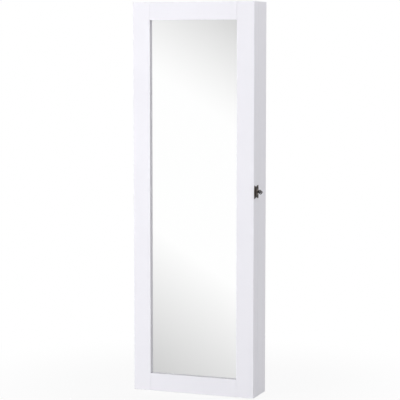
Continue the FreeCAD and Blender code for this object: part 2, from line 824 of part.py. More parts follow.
def mirror():
    """The glass and its backing board in the rabbet, and the lining over the back of the frame."""
    across = spread(GLASS_HALF)
    tall = (GLASS_LOW, f"cabinet_height - {GLASS_LOW}")
    glass = block("mirror_glass", across, (GLASS_FRONT, f"{GLASS_FRONT} + glass_thick"), tall)
    backing = block("mirror_backing", across, (f"{GLASS_FRONT} + glass_thick", FRAME_BACK), tall)
    cloth = block("door lining sheet", spread(f"{TRAY_INNER} - lining_clearance"),
                  (FRAME_BACK, DOOR_LINING_BACK),
                  ("tray_wall + lining_clearance", "cabinet_height - tray_wall - lining_clearance"))
    return [glass, backing, cut("door_lining", cloth, [cam_pocket()])]


def door_tray():
    """The four walls behind the frame that make the door a shallow tray."""
    deep = (FRAME_BACK, DOOR_BACK)
    tall = ("0", "cabinet_height")
    left = block("left wall blank", (LEFT, f"-{TRAY_INNER}"), deep, tall)
    pilots = (f"{DOOR_LEAF[1]} - hinge_screw_length", DOOR_BACK)
    recesses = hinge_recesses("door hinge", (DOOR_LEAF[0], DOOR_BACK), pilots)
    right = block("right wall blank", (TRAY_INNER, RIGHT), deep, tall)
    sockets = [rod("disc socket", "y", (f"{DOOR_BACK} - disc_thick", DOOR_BACK), (EDGE_MIDDLE, height),
                   "catch_radius + catch_clearance")
               for height in CATCH_HEIGHTS]
    return [cut("door_wall_left", left, recesses),
            cut("door_wall_right", right, [lock_hole("wall lock hole"), *sockets]),
            block("door_wall_top", spread(TRAY_INNER), deep,
                  ("cabinet_height - tray_wall", "cabinet_height")),
            block("door_wall_bottom", spread(TRAY_INNER), deep, ("0", "tray_wall"))]


def door_hanging():
    """A thin rail of short pegs inside the door."""
    peg = ("door_peg_pitch", fitting("door_peg_pitch", "door_rail_length - 2 * door_peg_margin"),
           "door_peg_radius", "door_peg_tenon")
    foot = "cabinet_height - door_rail_drop"
    # The door's pegs point backwards, so the rail is drawn facing forwards and turned round.
    about_face = FreeCAD.Rotation(Z_WAY, 180)
    rail = peg_rail("door_peg_rail", ("0", DOOR_LINING_BACK, foot), "door_rail_length / 2",
                    "door_rail_height", "door_rail_thick", peg)
    place(rail, "0", DOOR_LINING_BACK, foot, about_face)
    hooks = pegs("door_pegs", ("0", f"{DOOR_LINING_BACK} + door_rail_thick",
                               f"{foot} + door_rail_height / 2"),
                 peg, "door_peg_reach", "door_cap_radius", "door_cap_length")
    half_row = f"{peg[0]} * ({peg[1]} - 1) / 2"
    place(hooks, half_row, f"{DOOR_LINING_BACK} + door_rail_thick",
          f"{foot} + door_rail_height / 2", about_face)
    return [rail, hooks]


# Hinges

def hinge_leaf(label, leaf, spans, height, bore, sunk_from):
    """One leaf with its knuckles, let into the wood and countersunk for its screws."""
    plate = block("leaf plate", (LEFT, f"{LEFT} + leaf_width"), leaf, about(height, "hinge_height / 2"))
    pieces = [plate]
    for span in spans:
        pieces.append(rod("knuckle", "z", span, (HINGE_X, GAP_MIDDLE), "knuckle_radius"))
        pieces.append(block("knuckle neck", (HINGE_X, LEFT), leaf, span))
    tools = [rod("pin hole", "z", about(height, "hinge_height / 2"), (HINGE_X, GAP_MIDDLE), bore)]
    narrow, wide = "hinge_screw_radius + screw_clearance", "hinge_screw_head + screw_clearance"
    radii = (wide, narrow) if sunk_from == "low" else (narrow, wide)
    for number in range(int(value("hinge_screws"))):
        level = f"({height}) + hinge_screw_pitch * ({number} - (hinge_screws - 1) / 2)"
        tools.append(taper("leaf countersink", "y", leaf, (LEAF_SCREW_X, level), radii))
    return cut(label, joined(f"{label} blank", pieces), tools)


def hinges():
    """Three butt hinges on the left; the cabinet leaf has the outer knuckles, the door leaf the middle."""
    leaves, pins = [], []
    third = "hinge_height / 6"
    for name, height in HINGE_HEIGHTS.items():
        low, high = about(height, "hinge_height / 2")
        inner_low, inner_high = about(height, f"{third} + knuckle_gap / 2")
        middle = about(height, f"{third} - knuckle_gap / 2")
        leaves.append(hinge_leaf(f"hinge_cabinet_leaf_{name}", CABINET_LEAF,
                                 [(low, inner_low), (inner_high, high)], height,
                                 "pin_radius + pin_tight", "low"))
        leaves.append(hinge_leaf(f"hinge_door_leaf_{name}", DOOR_LEAF, [middle], height,
                                 "pin_radius + pin_running", "high"))
        shaft = rod("pin shaft", "z", (low, high), (HINGE_X, GAP_MIDDLE), "pin_radius")
        head = rod("pin head", "z", (high, f"{high} + pin_head_length"), (HINGE_X, GAP_MIDDLE),
                   "pin_head_radius")
        pins.append(joined("hinge pin", [shaft, head]))
    return [*leaves, gathered("hinge_pins", pins)]


def hinge_screw_set(label, face, way):
    """Countersunk screws through every leaf on one side; way is -1 where they point forwards."""
    body = new_body(label, LEAF_SCREW_X, face,
                    "hinge_inset - hinge_screw_pitch * (hinge_screws - 1) / 2", many=True)
    sign = "-" if way < 0 else ""
    corners = [("0", "0"), ("hinge_screw_head", "0"), ("hinge_screw_radius", f"{sign}leaf_thick"),
               ("hinge_screw_radius", f"{sign}(hinge_screw_length - hinge_screw_radius)"),
               ("0", f"{sign}hinge_screw_length")]
    screw = turned(body, outline(body, "XY_Plane", corners), "V_Axis")
    row(body, screw, "Z_Axis", "hinge_screw_pitch", "hinge_screws")
    spacing = "(cabinet_height / 2 - hinge_inset)"
    row(body, screw, "Z_Axis", spacing, str(len(HINGE_HEIGHTS)), whole=True)
    return body


def hinge_screws():
    """The screws of the cabinet leaves and of the door leaves."""
    return [hinge_screw_set("hinge_screws_cabinet", CABINET_LEAF[0], 1),
            hinge_screw_set("hinge_screws_door", DOOR_LEAF[1], -1)]


# Catches

def catches():
    """Magnets in the carcass edge, steel discs in the door, and soft bumpers between them."""
    magnets = [rod("magnet", "y", (CARCASS_FRONT, f"{CARCASS_FRONT} + magnet_length"),
                   (EDGE_MIDDLE, height), "catch_radius") for height in CATCH_HEIGHTS]
    discs = [rod("disc", "y", (f"{DOOR_BACK} - disc_thick", DOOR_BACK), (EDGE_MIDDLE, height),
                 "catch_radius") for height in CATCH_HEIGHTS]
    bumpers = [rod("bumper", "y", (f"{CARCASS_FRONT} - bumper_thick", CARCASS_FRONT),
                   (EDGE_MIDDLE, height), "bumper_radius") for height in BUMPER_HEIGHTS]
    return [gathered("catch_magnets", magnets), gathered("catch_discs", discs),
            gathered("door_bumpers", bumpers)]


# Lock

def lock_hole(label):
    """The hole for the barrel through the edge of the door."""
    return rod(label, "x", (TRAY_INNER, RIGHT), (LOCK_Y, "lock_height"),
               "barrel_radius + barrel_clearance")


def cam_pocket():
    """The room behind the stile that the nut and the turning cam need."""
    return block("cam pocket", (f"{TRAY_INNER} - pocket_width", TRAY_INNER),
                 (f"{DOOR_FRONT} + pocket_front", f"{FRAME_BACK} + lining_thick"),
                 ("lock_height - nut_across_corners / 2 - pocket_air",
                  f"lock_height + {FINGER_OUTER} + pocket_air"))


def lock_escutcheon():
    """The shaped plate round the lock, with bowed sides and a hollow top and bottom."""
    body = new_body("lock_escutcheon", RIGHT, LOCK_Y, "lock_height")
    half_width, half_height = "escutcheon_width / 2", "escutcheon_height / 2"
    corners = [(f"-{half_width}", f"-{half_height}"), (half_width, f"-{half_height}"),
               (half_width, half_height), (f"-{half_width}", half_height)]
    bows = {0: "-escutcheon_dip", 1: "escutcheon_bulge", 2: "-escutcheon_dip", 3: "escutcheon_bulge"}
    face = outline(body, "YZ_Plane", corners, bows)
    ease(body, pad(body, face, "escutcheon_thick"), X_WAY, "escutcheon_ease")
    hole = circle(body, "YZ_Plane", ("0", "0"), "barrel_radius + barrel_clearance", "escutcheon_thick")
    pocket(body, hole, "escutcheon_thick")
    return body


def lock_barrel():
    """The threaded barrel with its flange outside the plate, bored for the plug."""
    body = new_body("lock_barrel", FLANGE_BACK, LOCK_Y, "lock_height")
    inner = f"-({FLANGE_BACK} - {BARREL_END})"
    bore = "plug_radius + plug_clearance"
    corners = [(inner, bore), ("flange_length", bore), ("flange_length", "flange_radius - flange_ease"),
               ("flange_length - flange_ease", "flange_radius"), ("0", "flange_radius"),
               ("0", "barrel_radius"), (inner, "barrel_radius")]
    turned(body, outline(body, "XY_Plane", corners), "H_Axis")
    return body


def lock_nut():
    """The hexagonal nut that clamps the barrel from inside the door."""
    blank = doc.addObject("Part::Prism", "Hexagon")
    blank.Label = "nut blank"
    blank.Polygon = 6
    blank.setExpression("Circumradius", bound("nut_across_corners / 2"))
    blank.setExpression("Height", bound("nut_thick"))
    place(blank, f"{TRAY_INNER} - nut_thick", LOCK_Y, "lock_height", ALONG["x"])
    thread = rod("nut thread", "x", (f"{TRAY_INNER} - nut_thick", TRAY_INNER), (LOCK_Y, "lock_height"),
                 "barrel_radius + thread_clearance")
    return cut("lock_nut", blank, [thread])


def about_lock(degrees):
    """A turn about the lock's own axis, from +Y towards +Z."""
    return FreeCAD.Rotation(X_WAY, degrees)


def lock_plug():
    """The turning core: keyway in front, square tenon behind for the cam."""
    core = rod("plug core", "x", (CAM_OUT, PLUG_FACE), (LOCK_Y, "lock_height"), "plug_radius")
    tenon = block("cam tenon", (CAM_IN, CAM_OUT), about(LOCK_Y, "tenon_width / 2"),
                  about("lock_height", "tenon_width / 2"))
    round_way = rod("keyway bore", "x", (KEYWAY_FLOOR, PLUG_FACE), (LOCK_Y, "lock_height"),
                    "key_shaft_radius + key_clearance")
    slot = new_body("keyway slot", KEYWAY_FLOOR, LOCK_Y, "lock_height", about_lock(value("key_tilt")))
    half = "(key_bit_thick / 2 + key_clearance)"
    pad(slot, rectangle(slot, "YZ_Plane", spread(half), ("-key_bit_reach - key_clearance", "0")),
        f"{PLUG_FACE} - {KEYWAY_FLOOR}")
    thread = rod("cam screw thread", "x", (CAM_IN, CAM_SCREW_END),
                 (LOCK_Y, "lock_height"), "cam_screw_radius + thread_clearance")
    return cut("lock_plug", joined("plug blank", [core, tenon]), [round_way, slot, thread])


def lock_cam():
    """The hook: an arm from the hub carries a finger that passes behind the strike pin."""
    axis = (LOCK_Y, "lock_height")
    pin_angle = math.degrees(math.atan2(-value("strike_drop"), value("strike_reach")))
    finger_start = pin_angle - value("cam_finger_lead") + value("cam_travel")
    finger_end = finger_start + value("cam_finger_arc")
    half_arm = math.degrees(math.asin(value(f"cam_arm_width / 2 / {FINGER_INNER}")))
    span = (CAM_IN, CAM_OUT)
    hub = rod("cam hub", "x", span, axis, "cam_hub_radius")
    sector = rod("finger sector", "x", span, axis, FINGER_OUTER)
    sector.setExpression("Angle", bound("cam_finger_arc"))
    sector.Placement = FreeCAD.Placement(sector.Placement.Base,
                                         about_lock(finger_start + 90) * ALONG["x"])
    finger = cut("cam finger", sector, [rod("finger inside", "x", span, axis, FINGER_INNER)])
    arm = new_body("cam arm", CAM_IN, *axis, about_lock(finger_end - half_arm - 90))
    pad(arm, rectangle(arm, "YZ_Plane", spread("cam_arm_width / 2"),
                       ("cam_hub_radius / 2", f"{FINGER_INNER} + cam_finger_width / 2")), "cam_thick")
    square = block("cam square", span, about(LOCK_Y, "tenon_width / 2 + tenon_clearance"),
                   about("lock_height", "tenon_width / 2 + tenon_clearance"))
    return cut("lock_cam", joined("cam blank", [hub, arm, finger]), [square])


def cam_screw():
    """The screw that holds the cam on the plug."""
    axis = (LOCK_Y, "lock_height")
    head = rod("cam screw head", "x", (f"{CAM_IN} - cam_screw_head_length", CAM_IN), axis,
               "cam_screw_head")
    shank = rod("cam screw shank", "x", (CAM_IN, CAM_SCREW_END), axis, "cam_screw_radius")
    return joined("cam_screw", [head, shank])


def lock_strike():
    """The plate inside the right side with the pin that the cam's finger passes behind."""
    plate = block("strike plate", (f"{INNER} - strike_thick", INNER),
                  (f"{CARCASS_FRONT} + strike_margin", f"{CARCASS_FRONT} + strike_margin + strike_width"),
                  about(STRIKE_Z, "strike_height / 2"))
    pin = rod("strike pin", "x", (f"{CAM_IN} - strike_pin_past", f"{INNER} - strike_thick"),
              (STRIKE_Y, STRIKE_Z), "strike_pin_radius")
    return cut("lock_strike", joined("strike blank", [plate, pin]),
               strike_screws("strike screw hole", "screw_clearance"))


def key():
    """The key: shaft, collar, bit, and a bow of three pierced lobes, in line with the keyway."""
    tilt = about_lock(value("key_tilt"))
    body = new_body("key", KEY_TIP, LOCK_Y, "lock_height", tilt)
    bow_at = f"{BOW_START} - {KEY_TIP}"
    shaft = circle(body, "YZ_Plane", ("0", "0"), "key_shaft_radius")
    pad(body, shaft, f"{bow_at} + bow_lobe_radius")
    collar = circle(body, "YZ_Plane", ("0", "0"), "key_collar_radius",
                    f"{bow_at} - 2 * key_collar_length")
    pad(body, collar, "key_collar_length")
    bit = rectangle(body, "XZ_Plane", ("0", "key_bit_length"), ("-key_bit_reach", "0"),
                    "-key_bit_thick / 2")
    pad(body, bit, "key_bit_thick")
    lobes = [(f"{bow_at} + bow_lobe_radius", "bow_spread"),
             (f"{bow_at} + bow_lobe_radius", "-bow_spread"),
             (f"{bow_at} + bow_lobe_radius + bow_rise", "0")]
    for centre in lobes:
        lobe = circle(body, "XZ_Plane", centre, "bow_lobe_radius", "-bow_thick / 2")
        pad(body, lobe, "bow_thick")
    for centre in lobes:
        hole = circle(body, "XZ_Plane", centre, "bow_hole_radius", "key_collar_radius")
        pocket(body, hole, "2 * key_collar_radius")
    return body


def lock():
    """Everything that locks the door."""
    return [lock_escutcheon(), lock_barrel(), lock_nut(), lock_plug(), lock_cam(), cam_screw(),
            lock_strike(), key()]


def check(parts):
    """Stop where an object failed, or a piece is empty or not a sound solid."""
    doc.recompute()
    failed = [item.Label for item in doc.Objects if {"Invalid", "Error"} & set(item.State)]
    if failed:
        raise ValueError(f"these failed: {failed}")
    for part in parts:
        if part.Shape.isNull() or not part.Shape.isValid() or not part.Shape.Solids:
            raise ValueError(f"{part.Label} is not a sound solid")


def main():
    parts = [*side_panels(), *end_panels(), *back(), *plates_and_screws(), *shelves(), *fences(),
             *ring_rolls(), *earring_bars(), *necklace_hanging(), *door_stiles(), *door_rails(),
             *mirror(), *door_tray(), *door_hanging(), *hinges(), *hinge_screws(), *catches(),
             *lock()]
    check(parts)
    os.makedirs("parts", exist_ok=True)
    for part in parts:
        part.Shape.exportStep(f"parts/{part.Label}.step")
    print(len(parts), "parts")


main()
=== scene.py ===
import json
import math

import bmesh
import bpy
from mathutils import Matrix, Vector, noise

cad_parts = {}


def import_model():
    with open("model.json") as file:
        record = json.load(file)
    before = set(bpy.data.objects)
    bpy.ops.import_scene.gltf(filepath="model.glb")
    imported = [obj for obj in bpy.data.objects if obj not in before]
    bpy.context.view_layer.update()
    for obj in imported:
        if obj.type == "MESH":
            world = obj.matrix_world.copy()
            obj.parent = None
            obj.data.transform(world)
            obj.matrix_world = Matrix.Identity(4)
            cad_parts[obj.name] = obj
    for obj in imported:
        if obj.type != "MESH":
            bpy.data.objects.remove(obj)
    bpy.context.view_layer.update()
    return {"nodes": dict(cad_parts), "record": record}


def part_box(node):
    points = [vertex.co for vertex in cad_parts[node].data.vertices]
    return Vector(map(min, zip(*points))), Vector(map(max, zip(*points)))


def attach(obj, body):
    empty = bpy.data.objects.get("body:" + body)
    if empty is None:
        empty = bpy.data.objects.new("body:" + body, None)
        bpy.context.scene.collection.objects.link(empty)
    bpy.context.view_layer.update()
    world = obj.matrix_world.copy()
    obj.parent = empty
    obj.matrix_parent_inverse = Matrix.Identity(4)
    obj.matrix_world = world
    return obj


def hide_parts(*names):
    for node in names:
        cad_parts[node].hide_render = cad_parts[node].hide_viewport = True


# The looks of a wall-hung jewelry cabinet whose whole door is a framed mirror. Metres, in the
# frame's own axes: the wall is y = 0, the front faces -Y and z = 0 is the underside.

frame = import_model()
NODES = frame["nodes"]
SLOT_OF = {part["node"]: part["material_slot"] for part in frame["record"]["subparts"]}

MM = 0.001


# Node trees, written as Python

class Wire:
    """What a node gives. Arithmetic on it adds Math nodes."""

    def __init__(self, graph, socket):
        self.graph, self.socket = graph, socket

    def also(self, name):
        """Another output of the same node."""
        return Wire(self.graph, self.socket.node.outputs[name])

    def __add__(self, other):
        return self.graph.maths("ADD", self, other)

    def __sub__(self, other):
        return self.graph.maths("SUBTRACT", self, other)

    def __rsub__(self, other):
        return self.graph.maths("SUBTRACT", other, self)

    def __mul__(self, other):
        return self.graph.maths("MULTIPLY", self, other)

    def __truediv__(self, other):
        return self.graph.maths("DIVIDE", self, other)

    def __pow__(self, other):
        return self.graph.maths("POWER", self, other)

    def __neg__(self):
        return self * -1

    __radd__, __rmul__ = __add__, __mul__

    def above(self, level):
        """This, or the level where this is lower."""
        return self.graph.maths("MAXIMUM", self, level)

    def below(self, level):
        """This, or the level where this is higher."""
        return self.graph.maths("MINIMUM", self, level)

    def step(self, low, high):
        """Nought up to low, one from high on, and smooth between them."""
        return self.graph.add("ShaderNodeMapRange", {"interpolation_type": "SMOOTHSTEP"},
                              {"Value": self, "From Min": low, "From Max": high})


class Graph:
    """A node tree that gets every node from add()."""

    def __init__(self, tree):
        self.tree = tree
        tree.nodes.clear()

    def add(self, kind, settings=None, sockets=None, out=0):
        """A node of a type, with its settings and then the values or wires of its sockets."""
        node = self.tree.nodes.new(kind)
        for name, setting in (settings or {}).items():
            if name == "points":
                self.shape_curve(node, setting)
            else:
                setattr(node, name, setting)
        for name, value in (sockets or {}).items():
            for one in value if isinstance(value, list) else [value]:
                if isinstance(one, Wire):
                    self.tree.links.new(one.socket, node.inputs[name])
                else:
                    node.inputs[name].default_value = one
        return Wire(self, node.outputs[out] if node.outputs else None)

    def maths(self, operation, *values):
        return self.add("ShaderNodeMath", {"operation": operation}, dict(enumerate(values)))

    @staticmethod
    def shape_curve(node, points):
        """Give a Float Curve its points, joined smoothly without overshoot."""
        curve = node.mapping.curves[0]
        for x, y in points[1:-1]:
            curve.points.new(x, y)
        for point, (x, y) in zip(curve.points, points):
            point.location = (x, y)
            point.handle_type = "AUTO_CLAMPED"
        node.mapping.update()


class Finish(Graph):
    """A material, whose patterns follow the object's own coordinates in metres."""

    def __init__(self, name):
        self.material = bpy.data.materials.new(name)
        self.material.use_nodes = True
        super().__init__(self.material.node_tree)
        self.place = self.add("ShaderNodeTexCoord", out="Object")

    def stretched(self, x, y, z):
        return self.add("ShaderNodeMapping", None, {"Vector": self.place, "Scale": (x, y, z)})

    def noise(self, scale, detail=2.0, rough=0.5, at=None, twist=0.0):
        return self.add("ShaderNodeTexNoise", None,
                        {"Vector": at or self.place, "Scale": scale, "Detail": detail,
                         "Roughness": rough, "Distortion": twist})

    def mix(self, share, first, second):
        """Two colours, or colours on wires, mixed by a share."""
        node = self.add("ShaderNodeMix", {"data_type": "RGBA"}, {"Factor": share}, out=2)
        for socket, colour in zip((6, 7), (first, second)):
            if isinstance(colour, Wire):
                self.tree.links.new(colour.socket, node.socket.node.inputs[socket])
            else:
                node.socket.node.inputs[socket].default_value = (*colour, 1)
        return node

    def bump(self, height, strength, distance):
        return self.add("ShaderNodeBump", None,
                        {"Height": height, "Strength": strength, "Distance": distance})

    def done(self, sockets):
        """End the tree in one Principled shader, and give the material."""
        shader = self.add("ShaderNodeBsdfPrincipled", None, sockets)
        self.add("ShaderNodeOutputMaterial", None, {"Surface": shader})
        return self.material


# Finishes

def white_lacquer():
    """Sprayed satin white: a trace of orange peel, and a gloss that drifts from place to place."""
    paint = Finish("white_lacquer")
    drift = paint.noise(7, 3)
    peel = paint.noise(430, 2)
    grit = paint.noise(2100, 1)
    colour = paint.mix(drift, (0.915, 0.908, 0.950), (0.895, 0.889, 0.935))
    return paint.done({
        "Base Color": colour,
        "Roughness": drift * 0.10 + grit * 0.04 + 0.27,
        "Normal": paint.bump(peel * 0.8 + grit * 0.2, 0.12, 0.12 * MM),
        "Coat Weight": 0.25,
        "Coat Roughness": 0.16,
        "Specular IOR Level": 0.42,
    })


def back_board():
    """Pale coated hardboard with long pressed fibres just showing."""
    board = Finish("back_board")
    fibres = board.noise(160, 4, 0.65, board.stretched(1, 1, 0.16), twist=0.6)
    cloud = board.noise(5, 3)
    fleck = board.noise(900, 1).step(0.62, 0.72)
    base = board.mix(fibres, (0.74, 0.715, 0.665), (0.86, 0.845, 0.81))
    shaded = board.mix(cloud * 0.35, base, (0.70, 0.675, 0.63))
    return board.done({
        "Base Color": board.mix(fleck * 0.45, shaded, (0.55, 0.50, 0.44)),
        "Roughness": fibres * 0.16 + 0.52,
        "Normal": board.bump(fibres, 0.25, 0.15 * MM),
    })


def charcoal_velvet():
    """Short dense pile: stroked patches of nap, single tufts, and a pale sheen at the edges."""
    cloth = Finish("charcoal_velvet")
    nap = cloth.noise(13, 3, 0.55, cloth.stretched(1, 1, 0.55), twist=0.8).step(0.30, 0.72)
    tufts = cloth.noise(1500, 2, 0.6)
    lint = cloth.noise(620, 1).step(0.74, 0.78)
    base = cloth.mix(nap, (0.040, 0.040, 0.044), (0.056, 0.056, 0.061))
    grained = cloth.mix(tufts.step(0.3, 0.75) * 0.6, base, (0.095, 0.095, 0.102))
    return cloth.done({
        "Base Color": cloth.mix(lint * 0.25, grained, (0.20, 0.20, 0.20)),
        "Roughness": 0.86 + tufts * 0.12,
        "Normal": cloth.bump(tufts + nap * 0.3, 0.55, 0.5 * MM),
        "Sheen Weight": 0.8,
        "Sheen Roughness": 0.35,
        "Sheen Tint": (0.62, 0.62, 0.68, 1),
        "Specular IOR Level": 0.15,
    })


def silvered_mirror():
    """Silvered glass, with the last trace of haze that a wiping cloth leaves."""
    glass = Finish("silvered_mirror")
    haze = glass.noise(22, 4, 0.6, glass.stretched(1, 1, 0.4), twist=1.2)
    return glass.done({
        "Base Color": glass.mix(haze, (0.998, 0.998, 0.997), (0.988, 0.993, 0.990)),
        "Metallic": 1.0,
        "Roughness": haze.step(0.45, 0.85) * 0.018 + 0.004,
    })


def satin_nickel():
    """Plated and brushed: fine lines along the piece, warm grey."""
    metal = Finish("satin_nickel")
    brushed = metal.noise(900, 2, 0.5, metal.stretched(1, 1, 0.06))
    cloud = metal.noise(60, 2)
    return metal.done({
        "Base Color": metal.mix(cloud, (0.56, 0.545, 0.515), (0.48, 0.465, 0.44)),
        "Metallic": 1.0,
        "Roughness": brushed * 0.14 + cloud * 0.08 + 0.18,
        "Normal": metal.bump(brushed, 0.12, 0.05 * MM),
    })


def zinc_steel():
    """Bright zinc plate, a little blue, with the faint patches that the bath leaves."""
    metal = Finish("zinc_steel")
    patches = metal.add("ShaderNodeTexVoronoi", {"feature": "SMOOTH_F1"},
                        {"Vector": metal.place, "Scale": 260.0, "Smoothness": 0.4})
    cloud = metal.noise(90, 3)
    return metal.done({
        "Base Color": metal.mix(cloud, (0.66, 0.675, 0.695), (0.56, 0.575, 0.60)),
        "Metallic": 1.0,
        "Roughness": patches * 0.22 + cloud * 0.12 + 0.2,
        "Normal": metal.bump(patches, 0.06, 0.04 * MM),
    })


def dark_bronze():
    """Darkened bronze: brown-black in the hollows, rubbed to warmer metal where hands touch it."""
    metal = Finish("dark_bronze")
    raised = metal.add("ShaderNodeNewGeometry", out="Pointiness").step(0.50, 0.60)
    cloud = metal.noise(240, 5, 0.68)
    pits = metal.noise(1300, 2)
    rubbed = (raised * 0.75 + cloud.step(0.42, 0.82) * 0.24).below(1)
    return metal.done({
        "Base Color": metal.mix(rubbed, (0.038, 0.034, 0.032), (0.21, 0.175, 0.145)),
        "Metallic": 1.0,
        "Roughness": 0.50 - rubbed * 0.16 + pits * 0.08,
        "Normal": metal.bump(cloud * 0.6 + pits * 0.4, 0.22, 0.08 * MM),
    })


def bumper_rubber():
    """Milky soft rubber with a dusty skin."""
    rubber = Finish("bumper_rubber")
    dust = rubber.noise(700, 3)
    return rubber.done({
        "Base Color": rubber.mix(dust, (0.78, 0.78, 0.77), (0.70, 0.70, 0.69)),
        "Roughness": dust * 0.2 + 0.42,
        "Normal": rubber.bump(dust, 0.1, 0.05 * MM),
        "Subsurface Weight": 0.2,
        "Subsurface Scale": 1.5 * MM,
    })


FINISHES = {make.__name__: make() for make in (
    white_lacquer, back_board, charcoal_velvet, silvered_mirror, satin_nickel, zinc_steel,
    dark_bronze, bumper_rubber)}


def finish_nodes():
    """Every node that stays shows the finish of its slot."""
    for name, node in NODES.items():
        finish = FINISHES[SLOT_OF[name]]
        if node.material_slots:
            for slot in node.material_slots:
                slot.material = finish
        else:
            node.data.materials.append(finish)


# Pieces

def piece_from(name, mesh):
    piece = bpy.data.objects.new(name, mesh)
    bpy.context.scene.collection.objects.link(piece)
    return piece


def piece_of(name, form):
    """A piece from a bmesh, which ends here."""
    mesh = bpy.data.meshes.new(name)
    form.to_mesh(mesh)
    form.free()
    return piece_from(name, mesh)


def circle_turns(count):
    return [2 * math.pi * step / count for step in range(count)]


def bridge(form, first, second):
    """Join two rings of points by a band of faces."""
    for step, corner in enumerate(first):
        after = (step + 1) % len(first)
        form.faces.new((corner, first[after], second[after], second[step]))


def loft(form, rings, capped=False):
    """A closed skin through rings of points. Its ends are capped, or else the last ring is joined
    to the first."""
    made = [[form.verts.new(spot) for spot in ring] for ring in rings]
    for first, second in zip(made, made[1:]):
        bridge(form, first, second)
    if capped:
        form.faces.new(made[0])
        form.faces.new(reversed(made[-1]))
    else:
        bridge(form, made[-1], made[0])


def baked_in(piece):
    """Make a piece's modifiers part of its mesh."""
    shown = piece.evaluated_get(bpy.context.evaluated_depsgraph_get())
    mesh = bpy.data.meshes.new_from_object(shown)
    piece.modifiers.clear()
    piece.data = mesh
    return piece


# Points nearer than this are one point. Turned and pressed pieces stay smooth over wider corners.
WELD = 0.002 * MM
SOFT_CREASE = math.radians(50)


def soften(mesh, crease=math.radians(32)):
    """Shade a mesh smoothly, but for edges that turn by more than the crease."""
    form = bmesh.new()
    form.from_mesh(mesh)
    bmesh.ops.remove_doubles(form, verts=form.verts, dist=WELD)
    bmesh.ops.recalc_face_normals(form, faces=form.faces)
    for face in form.faces:
        face.smooth = True
    for edge in form.edges:
        edge.smooth = len(edge.link_faces) == 2 and edge.calc_face_angle() < crease
    form.to_mesh(mesh)
    form.free()


def dress(piece, slot, body, *nodes):
    """Finish a piece, hang it on the body it rides on, and hide the nodes it stands for."""
    piece.data.materials.clear()
    piece.data.materials.append(FINISHES[slot])
    if nodes:
        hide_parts(*nodes)
    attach(piece, body)


class Shape(Graph):
    """A Geometry Nodes tree with named inputs for its sizes."""

    KINDS = {float: "NodeSocketFloat", int: "NodeSocketInt", tuple: "NodeSocketVector",
             bpy.types.Material: "NodeSocketMaterial"}

    def __init__(self, name, sizes):
        self.sizes = sizes
        tree = bpy.data.node_groups.new(name, "GeometryNodeTree")
        super().__init__(tree)
        tree.interface.new_socket("Geometry", in_out="OUTPUT", socket_type="NodeSocketGeometry")
        for word, size in sizes.items():
            tree.interface.new_socket(word, in_out="INPUT", socket_type=self.KINDS[type(size)])
        self.source = self.add("NodeGroupInput")

    def size(self, word):
        return self.source.also(word)

    def vector(self, x=0.0, y=0.0, z=0.0):
        return self.add("ShaderNodeCombineXYZ", None, {"X": x, "Y": y, "Z": z})

    def build(self, name, geometry):
        """Finish the tree with real faces in their material, and give what it makes as a piece."""
        smooth = self.add("GeometryNodeRealizeInstances", None, {"Geometry": geometry})
        faced = self.add("GeometryNodeSetMaterial", None,
                         {"Geometry": smooth, "Material": self.size("Finish")})
        self.add("NodeGroupOutput", None, {"Geometry": faced})
        piece = piece_from(name, bpy.data.meshes.new(name))
        modifier = piece.modifiers.new("Shape", "NODES")
        modifier.node_group = self.tree
        for socket in self.tree.interface.items_tree:
            if socket.in_out == "INPUT":
                modifier[socket.identifier] = self.sizes[socket.name]
        return baked_in(piece)


def turned(name, profile, slot, sizes):
    """A row of pieces turned on a lathe: the profile gives the radius, as a share of the widest,
    at shares of the length."""
    shape = Shape(name, {"Length": 0.01, "Radius": 0.001, "Rings": 24, "Sides": 20, "Count": 1,
                         "Pitch": (0.0, 0.0, 0.0), "First": (0.0, 0.0, 0.0),
                         "Facing": (0.0, 0.0, 0.0), "Finish": FINISHES[slot], **sizes})
    line = shape.add("GeometryNodeCurvePrimitiveLine", None,
                     {"End": shape.vector(z=shape.size("Length"))})
    spine = shape.add("GeometryNodeResampleCurve", None,
                      {"Curve": line, "Count": shape.size("Rings")})
    along = shape.add("GeometryNodeSplineParameter", out="Factor")
    share = shape.add("ShaderNodeFloatCurve", {"points": profile}, {"Value": along})
    section = shape.add("GeometryNodeCurvePrimitiveCircle", None,
                        {"Resolution": shape.size("Sides"), "Radius": shape.size("Radius")})
    body = shape.add("GeometryNodeCurveToMesh", None,
                     {"Curve": spine, "Profile Curve": section, "Scale": share, "Fill Caps": True})
    spots = shape.add("GeometryNodeMeshLine", None,
                      {"Count": shape.size("Count"), "Start Location": shape.size("First"),
                       "Offset": shape.size("Pitch")})
    facing = shape.add("FunctionNodeEulerToRotation", None, {"Euler": shape.size("Facing")})
    row = shape.add("GeometryNodeInstanceOnPoints", None,
                    {"Points": spots, "Instance": body, "Rotation": facing})
    piece = shape.build(name, row)
    soften(piece.data, SOFT_CREASE)
    return piece


